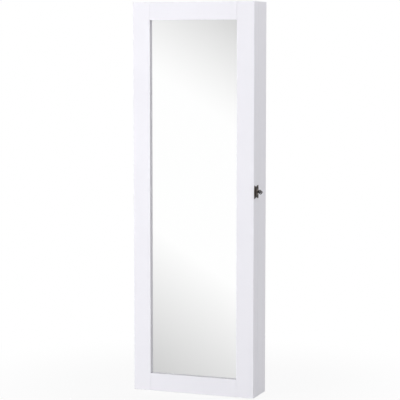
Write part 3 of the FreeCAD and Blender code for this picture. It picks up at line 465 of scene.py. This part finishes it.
def screws(name, slot, sizes):
    """Rows of countersunk screws with a cross recess, each turned as the driver left it."""
    shape = Shape(name, {"Head Radius": 0.002, "Head Depth": 0.001, "Shank Radius": 0.001,
                         "Length": 0.01, "Recess Width": 0.0005, "Recess Reach": 0.001,
                         "Recess Depth": 0.0007, "Count": 1, "Pitch": (0.0, 0.0, 0.0), "Rows": 1,
                         "Row Pitch": (0.0, 0.0, 0.0), "First": (0.0, 0.0, 0.0),
                         "Facing": (0.0, 0.0, 0.0), "Seed": 1, "Finish": FINISHES[slot], **sizes})
    head = shape.add("GeometryNodeMeshCone", None,
                     {"Vertices": 28, "Radius Bottom": shape.size("Head Radius"),
                      "Radius Top": shape.size("Shank Radius"), "Depth": shape.size("Head Depth")})
    reach, width = shape.size("Recess Reach") * 2, shape.size("Recess Width")
    depth = shape.size("Recess Depth") * 2
    slots = [shape.add("GeometryNodeMeshCube", None, {"Size": shape.vector(reach, width, depth)}),
             shape.add("GeometryNodeMeshCube", None, {"Size": shape.vector(width, reach, depth)})]
    cut = shape.add("GeometryNodeMeshBoolean", {"operation": "DIFFERENCE", "solver": "EXACT"},
                    {"Mesh 1": head, "Mesh 2": slots})
    # The shank starts inside the head, below the recess, so that both shells stay closed.
    seat = shape.size("Head Depth") * 0.8
    shank = shape.add("GeometryNodeMeshCone", None,
                      {"Vertices": 14, "Radius Bottom": shape.size("Shank Radius") * 0.96,
                       "Radius Top": shape.size("Shank Radius") * 0.2,
                       "Depth": shape.size("Length") - seat})
    lifted = shape.add("GeometryNodeTransform", None,
                       {"Geometry": shank, "Translation": shape.vector(z=seat)})
    screw = shape.add("GeometryNodeJoinGeometry", None, {"Geometry": [cut, lifted]})
    row = shape.add("GeometryNodeMeshLine", None,
                    {"Count": shape.size("Count"), "Offset": shape.size("Pitch")})
    starts = shape.add("GeometryNodeMeshLine", None,
                       {"Count": shape.size("Rows"), "Start Location": shape.size("First"),
                        "Offset": shape.size("Row Pitch")})
    rows = shape.add("GeometryNodeInstanceOnPoints", None, {"Points": starts, "Instance": row})
    spots = shape.add("GeometryNodeRealizeInstances", None, {"Geometry": rows})
    turn = shape.add("FunctionNodeRandomValue", {"data_type": "FLOAT"},
                     {"Max": math.pi / 2, "Seed": shape.size("Seed")}, out=1)
    spin = shape.add("FunctionNodeAxisAngleToRotation", None, {"Axis": (0, 0, 1), "Angle": turn})
    facing = shape.add("FunctionNodeEulerToRotation", None, {"Euler": shape.size("Facing")})
    aimed = shape.add("FunctionNodeRotateRotation", {"rotation_space": "LOCAL"},
                      {"Rotation": facing, "Rotate By": spin})
    placed = shape.add("GeometryNodeInstanceOnPoints", None,
                       {"Points": spots, "Instance": screw, "Rotation": aimed})
    piece = shape.build(name, placed)
    soften(piece.data)
    return piece


# What a piece drawn along +Z is turned by to point along another axis.
QUARTER = math.pi / 2
TO_FRONT, TO_BACK, TO_RIGHT = (QUARTER, 0.0, 0.0), (-QUARTER, 0.0, 0.0), (0.0, QUARTER, 0.0)

HINGES, HINGE_SCREWS, HINGE_SCREW_PITCH = 3, 3, 20 * MM


def hinge_screws():
    """Three screws in every hinge leaf, those of the cabinet and those of the door."""
    for body, facing in (("cabinet", TO_BACK), ("door", TO_FRONT)):
        node = f"hinge_screws_{body}"
        low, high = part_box(node)
        radius = (high.x - low.x) / 2
        face = low.y if facing == TO_BACK else high.y
        leaf = 2 * radius + (HINGE_SCREWS - 1) * HINGE_SCREW_PITCH
        rise = (high.z - low.z - leaf) / (HINGES - 1)
        piece = screws(f"{body}_hinge_screws", "satin_nickel", {
            "Head Radius": radius, "Head Depth": 1.2 * MM, "Shank Radius": 1.3 * MM,
            "Length": high.y - low.y, "Recess Width": 0.7 * MM, "Recess Reach": 1.5 * MM,
            "Recess Depth": 0.8 * MM, "Count": HINGE_SCREWS,
            "Pitch": (0.0, 0.0, HINGE_SCREW_PITCH), "Rows": HINGES,
            "Row Pitch": (0.0, 0.0, rise), "Facing": facing, "Seed": len(body),
            "First": ((low.x + high.x) / 2, face, low.z + radius)})
        dress(piece, "satin_nickel", body, node)


SMALL_SCREW = {"Head Radius": 2.6 * MM, "Head Depth": 1.3 * MM, "Shank Radius": 1.3 * MM,
               "Length": 7 * MM, "Recess Width": 0.7 * MM, "Recess Reach": 1.6 * MM,
               "Recess Depth": 0.8 * MM, "Count": 2}
PLATE_SPACING, PLATE_SCREW_INSET = 240 * MM, 3.6 * MM
# Where the strike's screws are: across, in depth, and from its ends.
STRIKE_FACE, STRIKE_MIDDLE, STRIKE_SCREW_INSET = 166 * MM, -56.5 * MM, 5 * MM


def plate_screws():
    """The small screws of the two keyhole plates and of the strike."""
    low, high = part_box("hanger_plates")
    rear = screws("keyhole_plate_screws", "zinc_steel", {
        **SMALL_SCREW, "Pitch": (0.0, 0.0, high.z - low.z - 2 * PLATE_SCREW_INSET), "Rows": 2,
        "Row Pitch": (PLATE_SPACING, 0.0, 0.0), "Facing": TO_FRONT, "Seed": 3,
        "First": (-PLATE_SPACING / 2, high.y, low.z + PLATE_SCREW_INSET)})
    low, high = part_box("lock_strike")
    inner = screws("strike_screws", "zinc_steel", {
        **SMALL_SCREW, "Pitch": (0.0, 0.0, high.z - low.z - 2 * STRIKE_SCREW_INSET),
        "Facing": TO_RIGHT, "Seed": 5,
        "First": (STRIKE_FACE, STRIKE_MIDDLE, low.z + STRIKE_SCREW_INSET)})
    dress(rear, "zinc_steel", "cabinet", "plate_screws")
    dress(inner, "zinc_steel", "cabinet")


# A peg: a plain tenon and shank, then from PEG_CAP on a flare to a rounded button.
PEG_CAP = 0.86
PEG_PROFILE = [(0.0, 0.5), (PEG_CAP, 0.5), (0.90, 0.56), (0.935, 0.86), (0.965, 1.0),
               (0.985, 0.93), (1.0, 0.5)]
# How long the flare and button are, in cap radii.
PEG_CAP_LENGTH = 1.35


def pegs():
    """The turned pegs for necklaces, and the short ones inside the door."""
    for name, body, pitch, cap, facing, rings in (
            ("necklace_pegs", "cabinet", 22 * MM, 4 * MM, TO_FRONT, 60),
            ("door_pegs", "door", 20 * MM, 3 * MM, TO_BACK, 48)):
        low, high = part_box(name)
        count = round((high.x - low.x - 2 * cap) / pitch) + 1
        start = high.y if facing == TO_FRONT else low.y
        long = high.y - low.y
        cap_at = 1 - cap * PEG_CAP_LENGTH / long
        stretch = (1 - cap_at) / (1 - PEG_CAP)
        squeeze = [(share if share < PEG_CAP else cap_at + (share - PEG_CAP) * stretch, radius)
                   for share, radius in PEG_PROFILE]
        piece = turned(f"turned_{name}", squeeze, "satin_nickel", {
            "Length": long, "Radius": cap, "Rings": rings, "Count": count,
            "Pitch": (pitch, 0.0, 0.0), "Facing": facing,
            "First": (low.x + cap, start, (low.z + high.z) / 2)})
        dress(piece, "satin_nickel", body, name)


BUMPER_PROFILE = [(0.0, 1.0), (0.3, 1.0), (0.62, 0.86), (0.85, 0.6), (1.0, 0.16)]


def bumpers():
    """Two soft domes that the door closes on."""
    low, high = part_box("door_bumpers")
    radius = (high.x - low.x) / 2
    piece = turned("soft_bumpers", BUMPER_PROFILE, "bumper_rubber", {
        "Length": high.y - low.y, "Radius": radius, "Rings": 10, "Sides": 32, "Count": 2,
        "Pitch": (0.0, 0.0, high.z - low.z - 2 * radius), "Facing": TO_FRONT,
        "First": (low.x + radius, high.y, low.z + radius)})
    dress(piece, "bumper_rubber", "cabinet", "door_bumpers")


# Velvet

ROLL_AROUND, ROLL_STATIONS = 32, 96
# The powers that round a roll's section in depth and in height, lower for squarer.
ROLL_FRONT, ROLL_BACK = (0.92, 0.62), (0.35, 0.35)
# The last stretch of each end, as a share of the half length, and how far it tucks in.
ROLL_END, ROLL_TUCK = 0.035, 0.16
# What is glued: behind this share of the half depth, and beyond this share of the half length.
GLUED_BACK, GLUED_ENDS = 0.62, 0.985
# How much smaller a roll starts, how many steps fill it, and how far a point may move.
ROLL_START, ROLL_STEPS, ROLL_GIVE = 1.5 * MM, 20, 2.4 * MM
ROLL_AIR, ROLL_DENT = 0.08 * MM, 0.3 * MM


def roll_section(angle):
    """A half-round pad's outline as shares of its half depth and half height: full in front, and
    square behind where it is glued."""
    y, z = math.cos(angle), math.sin(angle)
    deep, tall = ROLL_FRONT if y < 0 else ROLL_BACK
    return math.copysign(abs(y) ** deep, y), math.copysign(abs(z) ** tall, z)


def roll_blank(node):
    """A ring roll before it is filled, a little smaller than its place, with tucked ends."""
    low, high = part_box(node)
    middle, half = (low + high) / 2, (high - low) / 2
    reach = half.x - ROLL_START / 2
    form = bmesh.new()
    rings = []
    for station in range(ROLL_STATIONS + 1):
        along = -1 + 2 * station / ROLL_STATIONS
        tuck = 1 - max(0.0, abs(along) - (1 - ROLL_END)) / ROLL_END * ROLL_TUCK
        rings.append([(middle.x + along * reach,
                       middle.y + y * (half.y - ROLL_START) * tuck,
                       middle.z + z * (half.z - ROLL_START) * tuck)
                      for y, z in map(roll_section, circle_turns(ROLL_AROUND))])
    loft(form, rings, capped=True)
    bmesh.ops.recalc_face_normals(form, faces=form.faces)
    piece = piece_of(f"velvet_{node}", form)
    held = piece.vertex_groups.new(name="Glued")
    glued = [v.index for v in piece.data.vertices
             if v.co.y > middle.y + half.y * GLUED_BACK
             or abs(v.co.x - middle.x) > reach * GLUED_ENDS]
    held.add(glued, 1.0, "REPLACE")
    return piece


def fill_rolls(pieces):
    """Blow the rolls up as cloth, so that the velvet puckers where it is held."""
    for number, piece in enumerate(pieces):
        cloth = piece.modifiers.new("Cloth", "CLOTH")
        sets = cloth.settings
        sets.quality = 6
        sets.mass = 0.25
        sets.tension_stiffness = sets.compression_stiffness = 12
        sets.shear_stiffness = 5
        sets.bending_stiffness = 0.08
        sets.use_pressure = True
        sets.uniform_pressure_force = 4 + 0.3 * number
        sets.shrink_min = -0.02
        sets.vertex_group_mass = "Glued"
        sets.effector_weights.gravity = 0
        cloth.collision_settings.use_collision = False
        cloth.point_cache.frame_start, cloth.point_cache.frame_end = 1, ROLL_STEPS
    for step in range(1, ROLL_STEPS + 1):
        bpy.context.scene.frame_set(step)
    shown = bpy.context.evaluated_depsgraph_get()
    filled = [[v.co.copy() for v in piece.evaluated_get(shown).data.vertices] for piece in pieces]
    for piece, spots in zip(pieces, filled):
        piece.modifiers.clear()
        for vertex, spot in zip(piece.data.vertices, spots):
            move = spot - vertex.co
            if move.length > ROLL_GIVE:
                move *= ROLL_GIVE / move.length
            vertex.co += move
    bpy.context.scene.frame_set(1)


def ring_rolls():
    """Padded rolls that grip a ring's band between them."""
    nodes = sorted(name for name in NODES if name.startswith("ring_roll_"))
    pieces = [roll_blank(node) for node in nodes]
    fill_rolls(pieces)
    for node, piece in zip(nodes, pieces):
        low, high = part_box(node)
        for vertex in piece.data.vertices:
            spot = vertex.co
            spot.y += ROLL_DENT * noise.noise(spot * 30)
            for axis in range(3):
                spot[axis] = min(max(spot[axis], low[axis] + ROLL_AIR), high[axis] - ROLL_AIR)
        piece.vertex_groups.clear()
        piece.data.update()
        soft = piece.modifiers.new("Soft", "SUBSURF")
        soft.levels = soft.render_levels = 1
        baked_in(piece)
        soften(piece.data, math.radians(75))
        dress(piece, "charcoal_velvet", "cabinet", node)


LINING_ROUND = 0.6 * MM


def lining(node, body):
    """A card covered in velvet, its edges turned over, with the openings that its solid has."""
    low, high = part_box(node)
    form = bmesh.new()
    form.from_mesh(NODES[node].data)
    bmesh.ops.remove_doubles(form, verts=form.verts, dist=WELD)
    bmesh.ops.dissolve_limit(form, angle_limit=0.01, verts=form.verts, edges=form.edges)

    def on_rim(vertex):
        x, _, z = vertex.co
        return min(x - low.x, high.x - x, z - low.z, high.z - z) < 0.01 * MM

    rim = [edge for edge in form.edges
           if edge.calc_face_angle(0) > 1 and all(map(on_rim, edge.verts))]
    bmesh.ops.bevel(form, geom=rim, offset=LINING_ROUND, segments=3, profile=0.6, affect="EDGES")
    bmesh.ops.triangulate(form, faces=form.faces)
    piece = piece_of(f"velvet_{node}", form)
    soften(piece.data, SOFT_CREASE)
    dress(piece, "charcoal_velvet", body, node)


# A mat's thickness, its air all round, how far it stays behind an open shelf's edge, and how much
# of the thickness is rolled off its own edge.
MAT_THICK, MAT_AIR, MAT_SETBACK, MAT_EDGE = 1.2 * MM, 0.6 * MM, 2 * MM, 0.6


def mat(name, width, depth, middle):
    """A loose velvet mat with soft rolled edges, laid on a shelf."""
    shape = Shape(name, {"Width": width, "Depth": depth, "Thick": MAT_THICK, "Roll": 3 * MM,
                         "Ripple": 0.25 * MM, "Middle": tuple(middle), "Across": 90, "Back": 16,
                         "Finish": FINISHES["charcoal_velvet"]})
    block = shape.vector(shape.size("Width"), shape.size("Depth"), shape.size("Thick"))
    slab = shape.add("GeometryNodeMeshCube", None,
                     {"Size": block, "Vertices X": shape.size("Across"),
                      "Vertices Y": shape.size("Back"), "Vertices Z": 2})
    where = shape.add("GeometryNodeInputPosition")
    x, y, z = (shape.add("ShaderNodeSeparateXYZ", None, {"Vector": where}, out=axis)
               for axis in range(3))
    near_side = shape.size("Width") / 2 - shape.maths("ABSOLUTE", x)
    near_end = shape.size("Depth") / 2 - shape.maths("ABSOLUTE", y)
    inside = (near_side.below(near_end) / shape.size("Roll")).step(0, 1)
    wave = shape.add("ShaderNodeTexNoise", None, {"Vector": where, "Scale": 26.0, "Detail": 1.0})
    on_top = z.step(0, 0.00001)
    sink = (inside - 1) * shape.size("Thick") * MAT_EDGE + (wave - 1) * shape.size("Ripple")
    shaped = shape.add("GeometryNodeSetPosition", None,
                       {"Geometry": slab, "Offset": shape.vector(z=sink * on_top)})
    laid = shape.add("GeometryNodeTransform", None,
                     {"Geometry": shaped, "Translation": shape.size("Middle")})
    piece = shape.build(name, laid)
    soften(piece.data, math.radians(60))
    dress(piece, "charcoal_velvet", "cabinet")


def mats():
    """A mat in every bay that holds loose things, between the sides and behind the fence."""
    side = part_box("shelf_lower")[1].x
    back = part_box("back_lining")[0].y - MAT_AIR
    for name, carrier, fence in (("bottom_mat", "bottom_panel", "bottom_fence"),
                                 ("lower_mat", "shelf_lower", "lower_fence"),
                                 ("upper_mat", "shelf_upper", "upper_fence"),
                                 ("earring_mat", "earring_shelf", None)):
        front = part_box(fence)[1].y + MAT_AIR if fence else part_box(carrier)[0].y + MAT_SETBACK
        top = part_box(carrier)[1].z
        middle = Vector((0, (front + back) / 2, top + MAT_THICK / 2))
        mat(name, 2 * (side - MAT_AIR), back - front, middle)


# Lock

def plate_outline(half_width, half_height, bulge, dip, per_side=36):
    """The lock plate's edge, in millimetres from the lock's axis: bowed sides, hollow ends and
    four tips."""
    spots = []
    for turn in (1, -1):
        for step in range(per_side):
            run = 2 * step / per_side - 1
            spots.append(Vector((half_width + bulge * (1 - run * run), half_height * run)) * turn)
        for step in range(per_side):
            run = 2 * step / per_side - 1
            spots.append(Vector((-half_width * run, half_height - dip * (1 - run * run))) * turn)
    return spots


# The plate's half width and half height, and how far its sides bow out and its ends dip in.
PLATE_SIZES = {"half_width": 14.5, "half_height": 18.5, "bulge": 2.0, "dip": 3.5}
# Its section from its edge inwards: a share of the outline, and the height in millimetres.
PLATE_RIM = [(1.0, 0.0), (1.0, 1.3), (0.988, 1.9), (0.965, 2.3), (0.94, 2.4), (0.912, 2.2),
             (0.89, 1.75), (0.875, 1.5)]
PLATE_FIELD = 1.45
# Then round the barrel: a radius and a height, over a collar and down to the flange's seat.
PLATE_COLLAR = [(12.0, 1.5), (11.5, 1.9), (10.9, 2.8), (10.2, 3.3), (9.5, 3.25), (9.0, 2.6),
                (8.7, 1.95), (8.3, 1.8), (7.12, 1.8), (7.12, 0.0)]
# Two round-headed pins: their place across and up from the axis, and their radius.
PIN_ACROSS, PIN_UP, PIN_RADIUS = 9.6, 13.4, 1.0


def lock_plate():
    """The shaped plate round the lock: a raised bead along its edge, a boss, and two pins."""
    low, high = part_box("lock_escutcheon")
    axis = Vector((low.x, (low.y + high.y) / 2, (low.z + high.z) / 2))

    def on_plate(spot, height):
        return axis + Vector((height, spot[0], spot[1])) * MM

    edge = plate_outline(**PLATE_SIZES)
    rings = [[on_plate(spot * share, height) for spot in edge] for share, height in PLATE_RIM]
    inner = [spot * PLATE_RIM[-1][0] for spot in edge]
    for part in (0.35, 0.7):
        rings.append([on_plate(spot.lerp(spot.normalized() * PLATE_COLLAR[0][0], part), PLATE_FIELD)
                      for spot in inner])
    for radius, height in PLATE_COLLAR:
        rings.append([on_plate(spot.normalized() * radius, height) for spot in edge])
    form = bmesh.new()
    loft(form, rings)
    for way in (-1, 1):
        pin = bmesh.ops.create_uvsphere(form, u_segments=20, v_segments=12, radius=PIN_RADIUS * MM)
        flatten = (Matrix.Translation(on_plate((way * PIN_ACROSS, way * PIN_UP), PLATE_FIELD))
                   @ Matrix.Diagonal((0.75, 1, 1, 1)))
        bmesh.ops.transform(form, matrix=flatten, verts=pin["verts"])
    piece = piece_of("lock_plate", form)
    soften(piece.data, SOFT_CREASE)
    dress(piece, "dark_bronze", "door", "lock_escutcheon")


# The key in millimetres, along +X from the tip of its shaft. Its bow starts at KEY_BOW.
KEY_BOW = 23.8
KEY_TILT = math.radians(30)
# The loops' places from the bow's start and across, then their radius, and the half width and half
# thickness of their metal.
KEY_LOOPS = [(4, 3.8), (4, -3.8), (7.2, 0)]
LOOP_MAJOR, LOOP_MINOR, LOOP_FLAT = 2.75, 1.25, 1.1
# The shaft's places and radii, then those of the collar, its bead and the bow's root, which are
# placed from the bow's start.
KEY_SHAFT = [(0, 1.6), (0.5, 1.98)]
KEY_COLLAR = [(-2.9, 1.98), (-2.7, 2.8), (-2.2, 3.2), (-1.7, 3.1), (-1.4, 2.4), (-1.1, 2.5),
              (-0.6, 2.9), (-0.1, 2.6), (0.2, 2.0), (1.2, 1.8), (3.2, 1.6), (4.6, 1.2)]
# The bit's blocks: start, end, height of the middle, and height. Three teeth and their web.
KEY_BIT = [(0.0, 1.6, -2.75, 3.3), (2.3, 3.2, -2.75, 3.3), (3.9, 5.0, -2.75, 3.3),
           (0.05, 4.95, -1.9, 2.2)]
KEY_BIT_THICK = 1.5
# The detail that casting leaves.
KEY_GRAIN = 0.17


def cast_loop(form, centre, around=40, across=16):
    """A ring like a cast loop, lying in the key's own X-Z plane."""
    rings = []
    for turn in circle_turns(around):
        out = Vector((math.cos(turn), 0, math.sin(turn)))
        rings.append([centre + out * (LOOP_MAJOR + LOOP_MINOR * math.cos(a))
                      + Vector((0, LOOP_FLAT * math.sin(a), 0)) for a in circle_turns(across)])
    loft(form, rings)


def lathe_x(form, profile, sides=28):
    """A closed solid turned about the key's axis, from places along it and radii."""
    loft(form, [[(x, radius * math.cos(a), radius * math.sin(a)) for a in circle_turns(sides)]
                for x, radius in profile], capped=True)


def key():
    """A cast key: three loops for a bow, a beaded collar, a round shaft and a notched bit."""
    form = bmesh.new()
    for x, z in KEY_LOOPS:
        cast_loop(form, Vector((KEY_BOW + x, 0, z)))
    lathe_x(form, KEY_SHAFT + [(KEY_BOW + x, radius) for x, radius in KEY_COLLAR])
    for start, end, middle, tall in KEY_BIT:
        block = bmesh.ops.create_cube(form, size=1)["verts"]
        at = (Matrix.Translation(((start + end) / 2, 0, middle))
              @ Matrix.Diagonal((end - start, KEY_BIT_THICK, tall, 1)))
        bmesh.ops.transform(form, matrix=at, verts=block)
    bmesh.ops.recalc_face_normals(form, faces=form.faces)
    piece = piece_of("cast_key", form)
    cast = piece.modifiers.new("Cast", "REMESH")
    cast.mode = "VOXEL"
    cast.voxel_size = KEY_GRAIN
    worn = piece.modifiers.new("Worn", "SMOOTH")
    worn.factor, worn.iterations = 0.5, 7
    baked_in(piece)
    low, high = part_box("lock_plug")
    axis = Vector((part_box("key")[0].x, (low.y + high.y) / 2, (low.z + high.z) / 2))
    place = Matrix.Translation(axis) @ Matrix.Rotation(KEY_TILT, 4, "X") @ Matrix.Scale(MM, 4)
    piece.data.transform(place)
    for face in piece.data.polygons:
        face.use_smooth = True
    dress(piece, "dark_bronze", "key", "key")


# Stage

# The room's light on the object: its level at the sides, and what it gains towards the wall.
ROOM_LIGHT, ROOM_SLOPE = 0.50, 0.40
ROOM_TINT = (0.972, 0.965, 1, 1)
# What mirrors show: a white band that slants across the room. It turns grey above and below its
# edges, over these stretches and by these shares, and farther off it is white again.
BAND_RISE, BAND_SIDE, BAND_PLACE = -4.117, -2.563, -0.924
UPPER_EDGE, UPPER_STRETCH, UPPER_GREY, UPPER_CURVE = 0.212, 0.299, 0.321, 1.3
LOWER_EDGE, LOWER_STRETCH, LOWER_GREY = 0.648, 0.361, 0.328
DEEPEST_GREY = 0.36
BAND_MIDDLE, BAND_REPEAT, BAND_FADE = 0.43, 1.7, (0.7, 1.6)


def world():
    """A white room: white behind the object and in mirrors, and a softer light on everything."""
    sky = bpy.data.worlds.new("white_room")
    sky.use_nodes = True
    bpy.context.scene.world = sky
    graph = Graph(sky.node_tree)
    way = graph.add("ShaderNodeTexCoord", out="Generated")
    x, y, z = (graph.add("ShaderNodeSeparateXYZ", None, {"Vector": way}, out=axis)
               for axis in range(3))
    ahead = (-y).above(0.3)
    slant = (z * BAND_RISE + x * BAND_SIDE) / ahead + BAND_PLACE
    upper = ((UPPER_EDGE - slant) / UPPER_STRETCH).above(0) ** UPPER_CURVE
    lower = ((slant - LOWER_EDGE) / LOWER_STRETCH).above(0)
    grey = (upper * UPPER_GREY + lower * LOWER_GREY).below(DEEPEST_GREY)
    far = graph.maths("PINGPONG", graph.maths("ABSOLUTE", slant - BAND_MIDDLE), BAND_REPEAT)
    shade = 1 - grey * (1 - far.step(*BAND_FADE))
    path = graph.add("ShaderNodeLightPath")
    seen = path.above(path.also("Is Glossy Ray")).above(path.also("Is Transmission Ray"))
    first = seen * (1 - path.also("Diffuse Depth").below(1))
    glossy = first * path.also("Is Glossy Ray")
    room = y * ROOM_SLOPE + ROOM_LIGHT
    level = (1 - first) * room + first
    tint = graph.add("ShaderNodeMix", {"data_type": "RGBA"}, {"Factor": first}, out=2)
    tint.socket.node.inputs[6].default_value = ROOM_TINT
    tint.socket.node.inputs[7].default_value = (1, 1, 1, 1)
    light = graph.add("ShaderNodeBackground", None,
                      {"Color": tint, "Strength": level * (1 - glossy * (1 - shade))})
    graph.add("ShaderNodeOutputWorld", None, {"Surface": light})


# The floor's half size, level and own white.
FLOOR_SIZE, FLOOR_LEVEL, FLOOR_WHITE = 9.0, -1.5 * MM, (0.80, 0.80, 0.80, 1)
# The camera sees this share of plain white in it up to the near distance from the object's middle
# depth, and only white from the far one on.
FLOOR_SEEN, FLOOR_NEAR, FLOOR_FAR, MIDDLE_DEPTH = 0.9, 0.25, 0.9, -0.05


def floor():
    """A plain white floor that keeps a soft shadow near the object and fades to white."""
    form = bmesh.new()
    bmesh.ops.create_grid(form, x_segments=1, y_segments=1, size=FLOOR_SIZE)
    plane = piece_of("floor", form)
    plane.data.transform(Matrix.Translation((0, 0, FLOOR_LEVEL)))
    paint = Finish("floor_white")
    x, y = (paint.add("ShaderNodeSeparateXYZ", None, {"Vector": paint.place}, out=axis)
            for axis in range(2))
    ahead = y - MIDDLE_DEPTH
    away = (x * x + ahead * ahead) ** 0.5
    far = away.step(FLOOR_NEAR, FLOOR_FAR) * (1 - FLOOR_SEEN) + FLOOR_SEEN
    path = paint.add("ShaderNodeLightPath")
    matt = paint.add("ShaderNodeBsdfDiffuse", None, {"Color": FLOOR_WHITE})
    white = paint.add("ShaderNodeEmission", None, {"Color": (1, 1, 1, 1), "Strength": 1.0})
    seen = paint.add("ShaderNodeMixShader", None, {0: path * far, 1: matt, 2: white})
    clear = paint.add("ShaderNodeBsdfTransparent")
    first = path.also("Is Glossy Ray") * (1 - path.also("Diffuse Depth").below(1))
    both = paint.add("ShaderNodeMixShader", None, {0: first, 1: seen, 2: clear})
    paint.add("ShaderNodeOutputMaterial", None, {"Surface": both})
    plane.data.materials.append(paint.material)


def lamp(name, at, towards, size, power, glossy=True):
    """A square soft light. One that isn't glossy is left out of what mirrors show."""
    data = bpy.data.lights.new(name, "AREA")
    data.shape, data.size, data.energy = "SQUARE", size, power
    light = bpy.data.objects.new(name, data)
    bpy.context.scene.collection.objects.link(light)
    light.visible_glossy = glossy
    light.location = at
    light.rotation_mode = "QUATERNION"
    light.rotation_quaternion = (Vector(towards) - Vector(at)).to_track_quat("-Z", "Y")


def lamps():
    """A broad soft light from the front left, which mirrors don't show, and two weak ones on the
    right: one high in front, and one low behind."""
    lamp("key_light", (-2.3, -3.9, 0.85), (0, -0.1, 0.6), 1.7, 131, glossy=False)
    lamp("fill_light", (1.25, -0.4, 1.85), (0.15, -0.05, 1.0), 0.6, 5)
    lamp("back_light", (0.9, 0.5, 0.6), (0.18, 0, 0.55), 0.8, 0.7)


CAMERA_AT = (1.5866, -4.2045, 0.9699)
# In millimetres.
CAMERA_LENS, CAMERA_SENSOR = 142.31, 36
CAMERA_YAW, CAMERA_PITCH = math.radians(20.89), math.radians(5.454)


def camera():
    """The photograph's viewpoint, looking a little down."""
    data = bpy.data.cameras.new("camera")
    data.sensor_width, data.lens = CAMERA_SENSOR, CAMERA_LENS
    data.clip_start, data.clip_end = 0.05, 60
    eye = bpy.data.objects.new("camera", data)
    bpy.context.scene.collection.objects.link(eye)
    eye.location = CAMERA_AT
    level = math.cos(CAMERA_PITCH)
    forward = Vector((-math.sin(CAMERA_YAW) * level, math.cos(CAMERA_YAW) * level,
                      -math.sin(CAMERA_PITCH)))
    eye.rotation_mode = "QUATERNION"
    eye.rotation_quaternion = forward.to_track_quat("-Z", "Y")
    bpy.context.scene.camera = eye


finish_nodes()
hinge_screws()
plate_screws()
pegs()
bumpers()
ring_rolls()
lining("back_lining", "cabinet")
lining("door_lining", "door")
mats()
lock_plate()
key()
world()
floor()
lamps()
camera()
bpy.context.scene.view_settings.view_transform = "Standard"
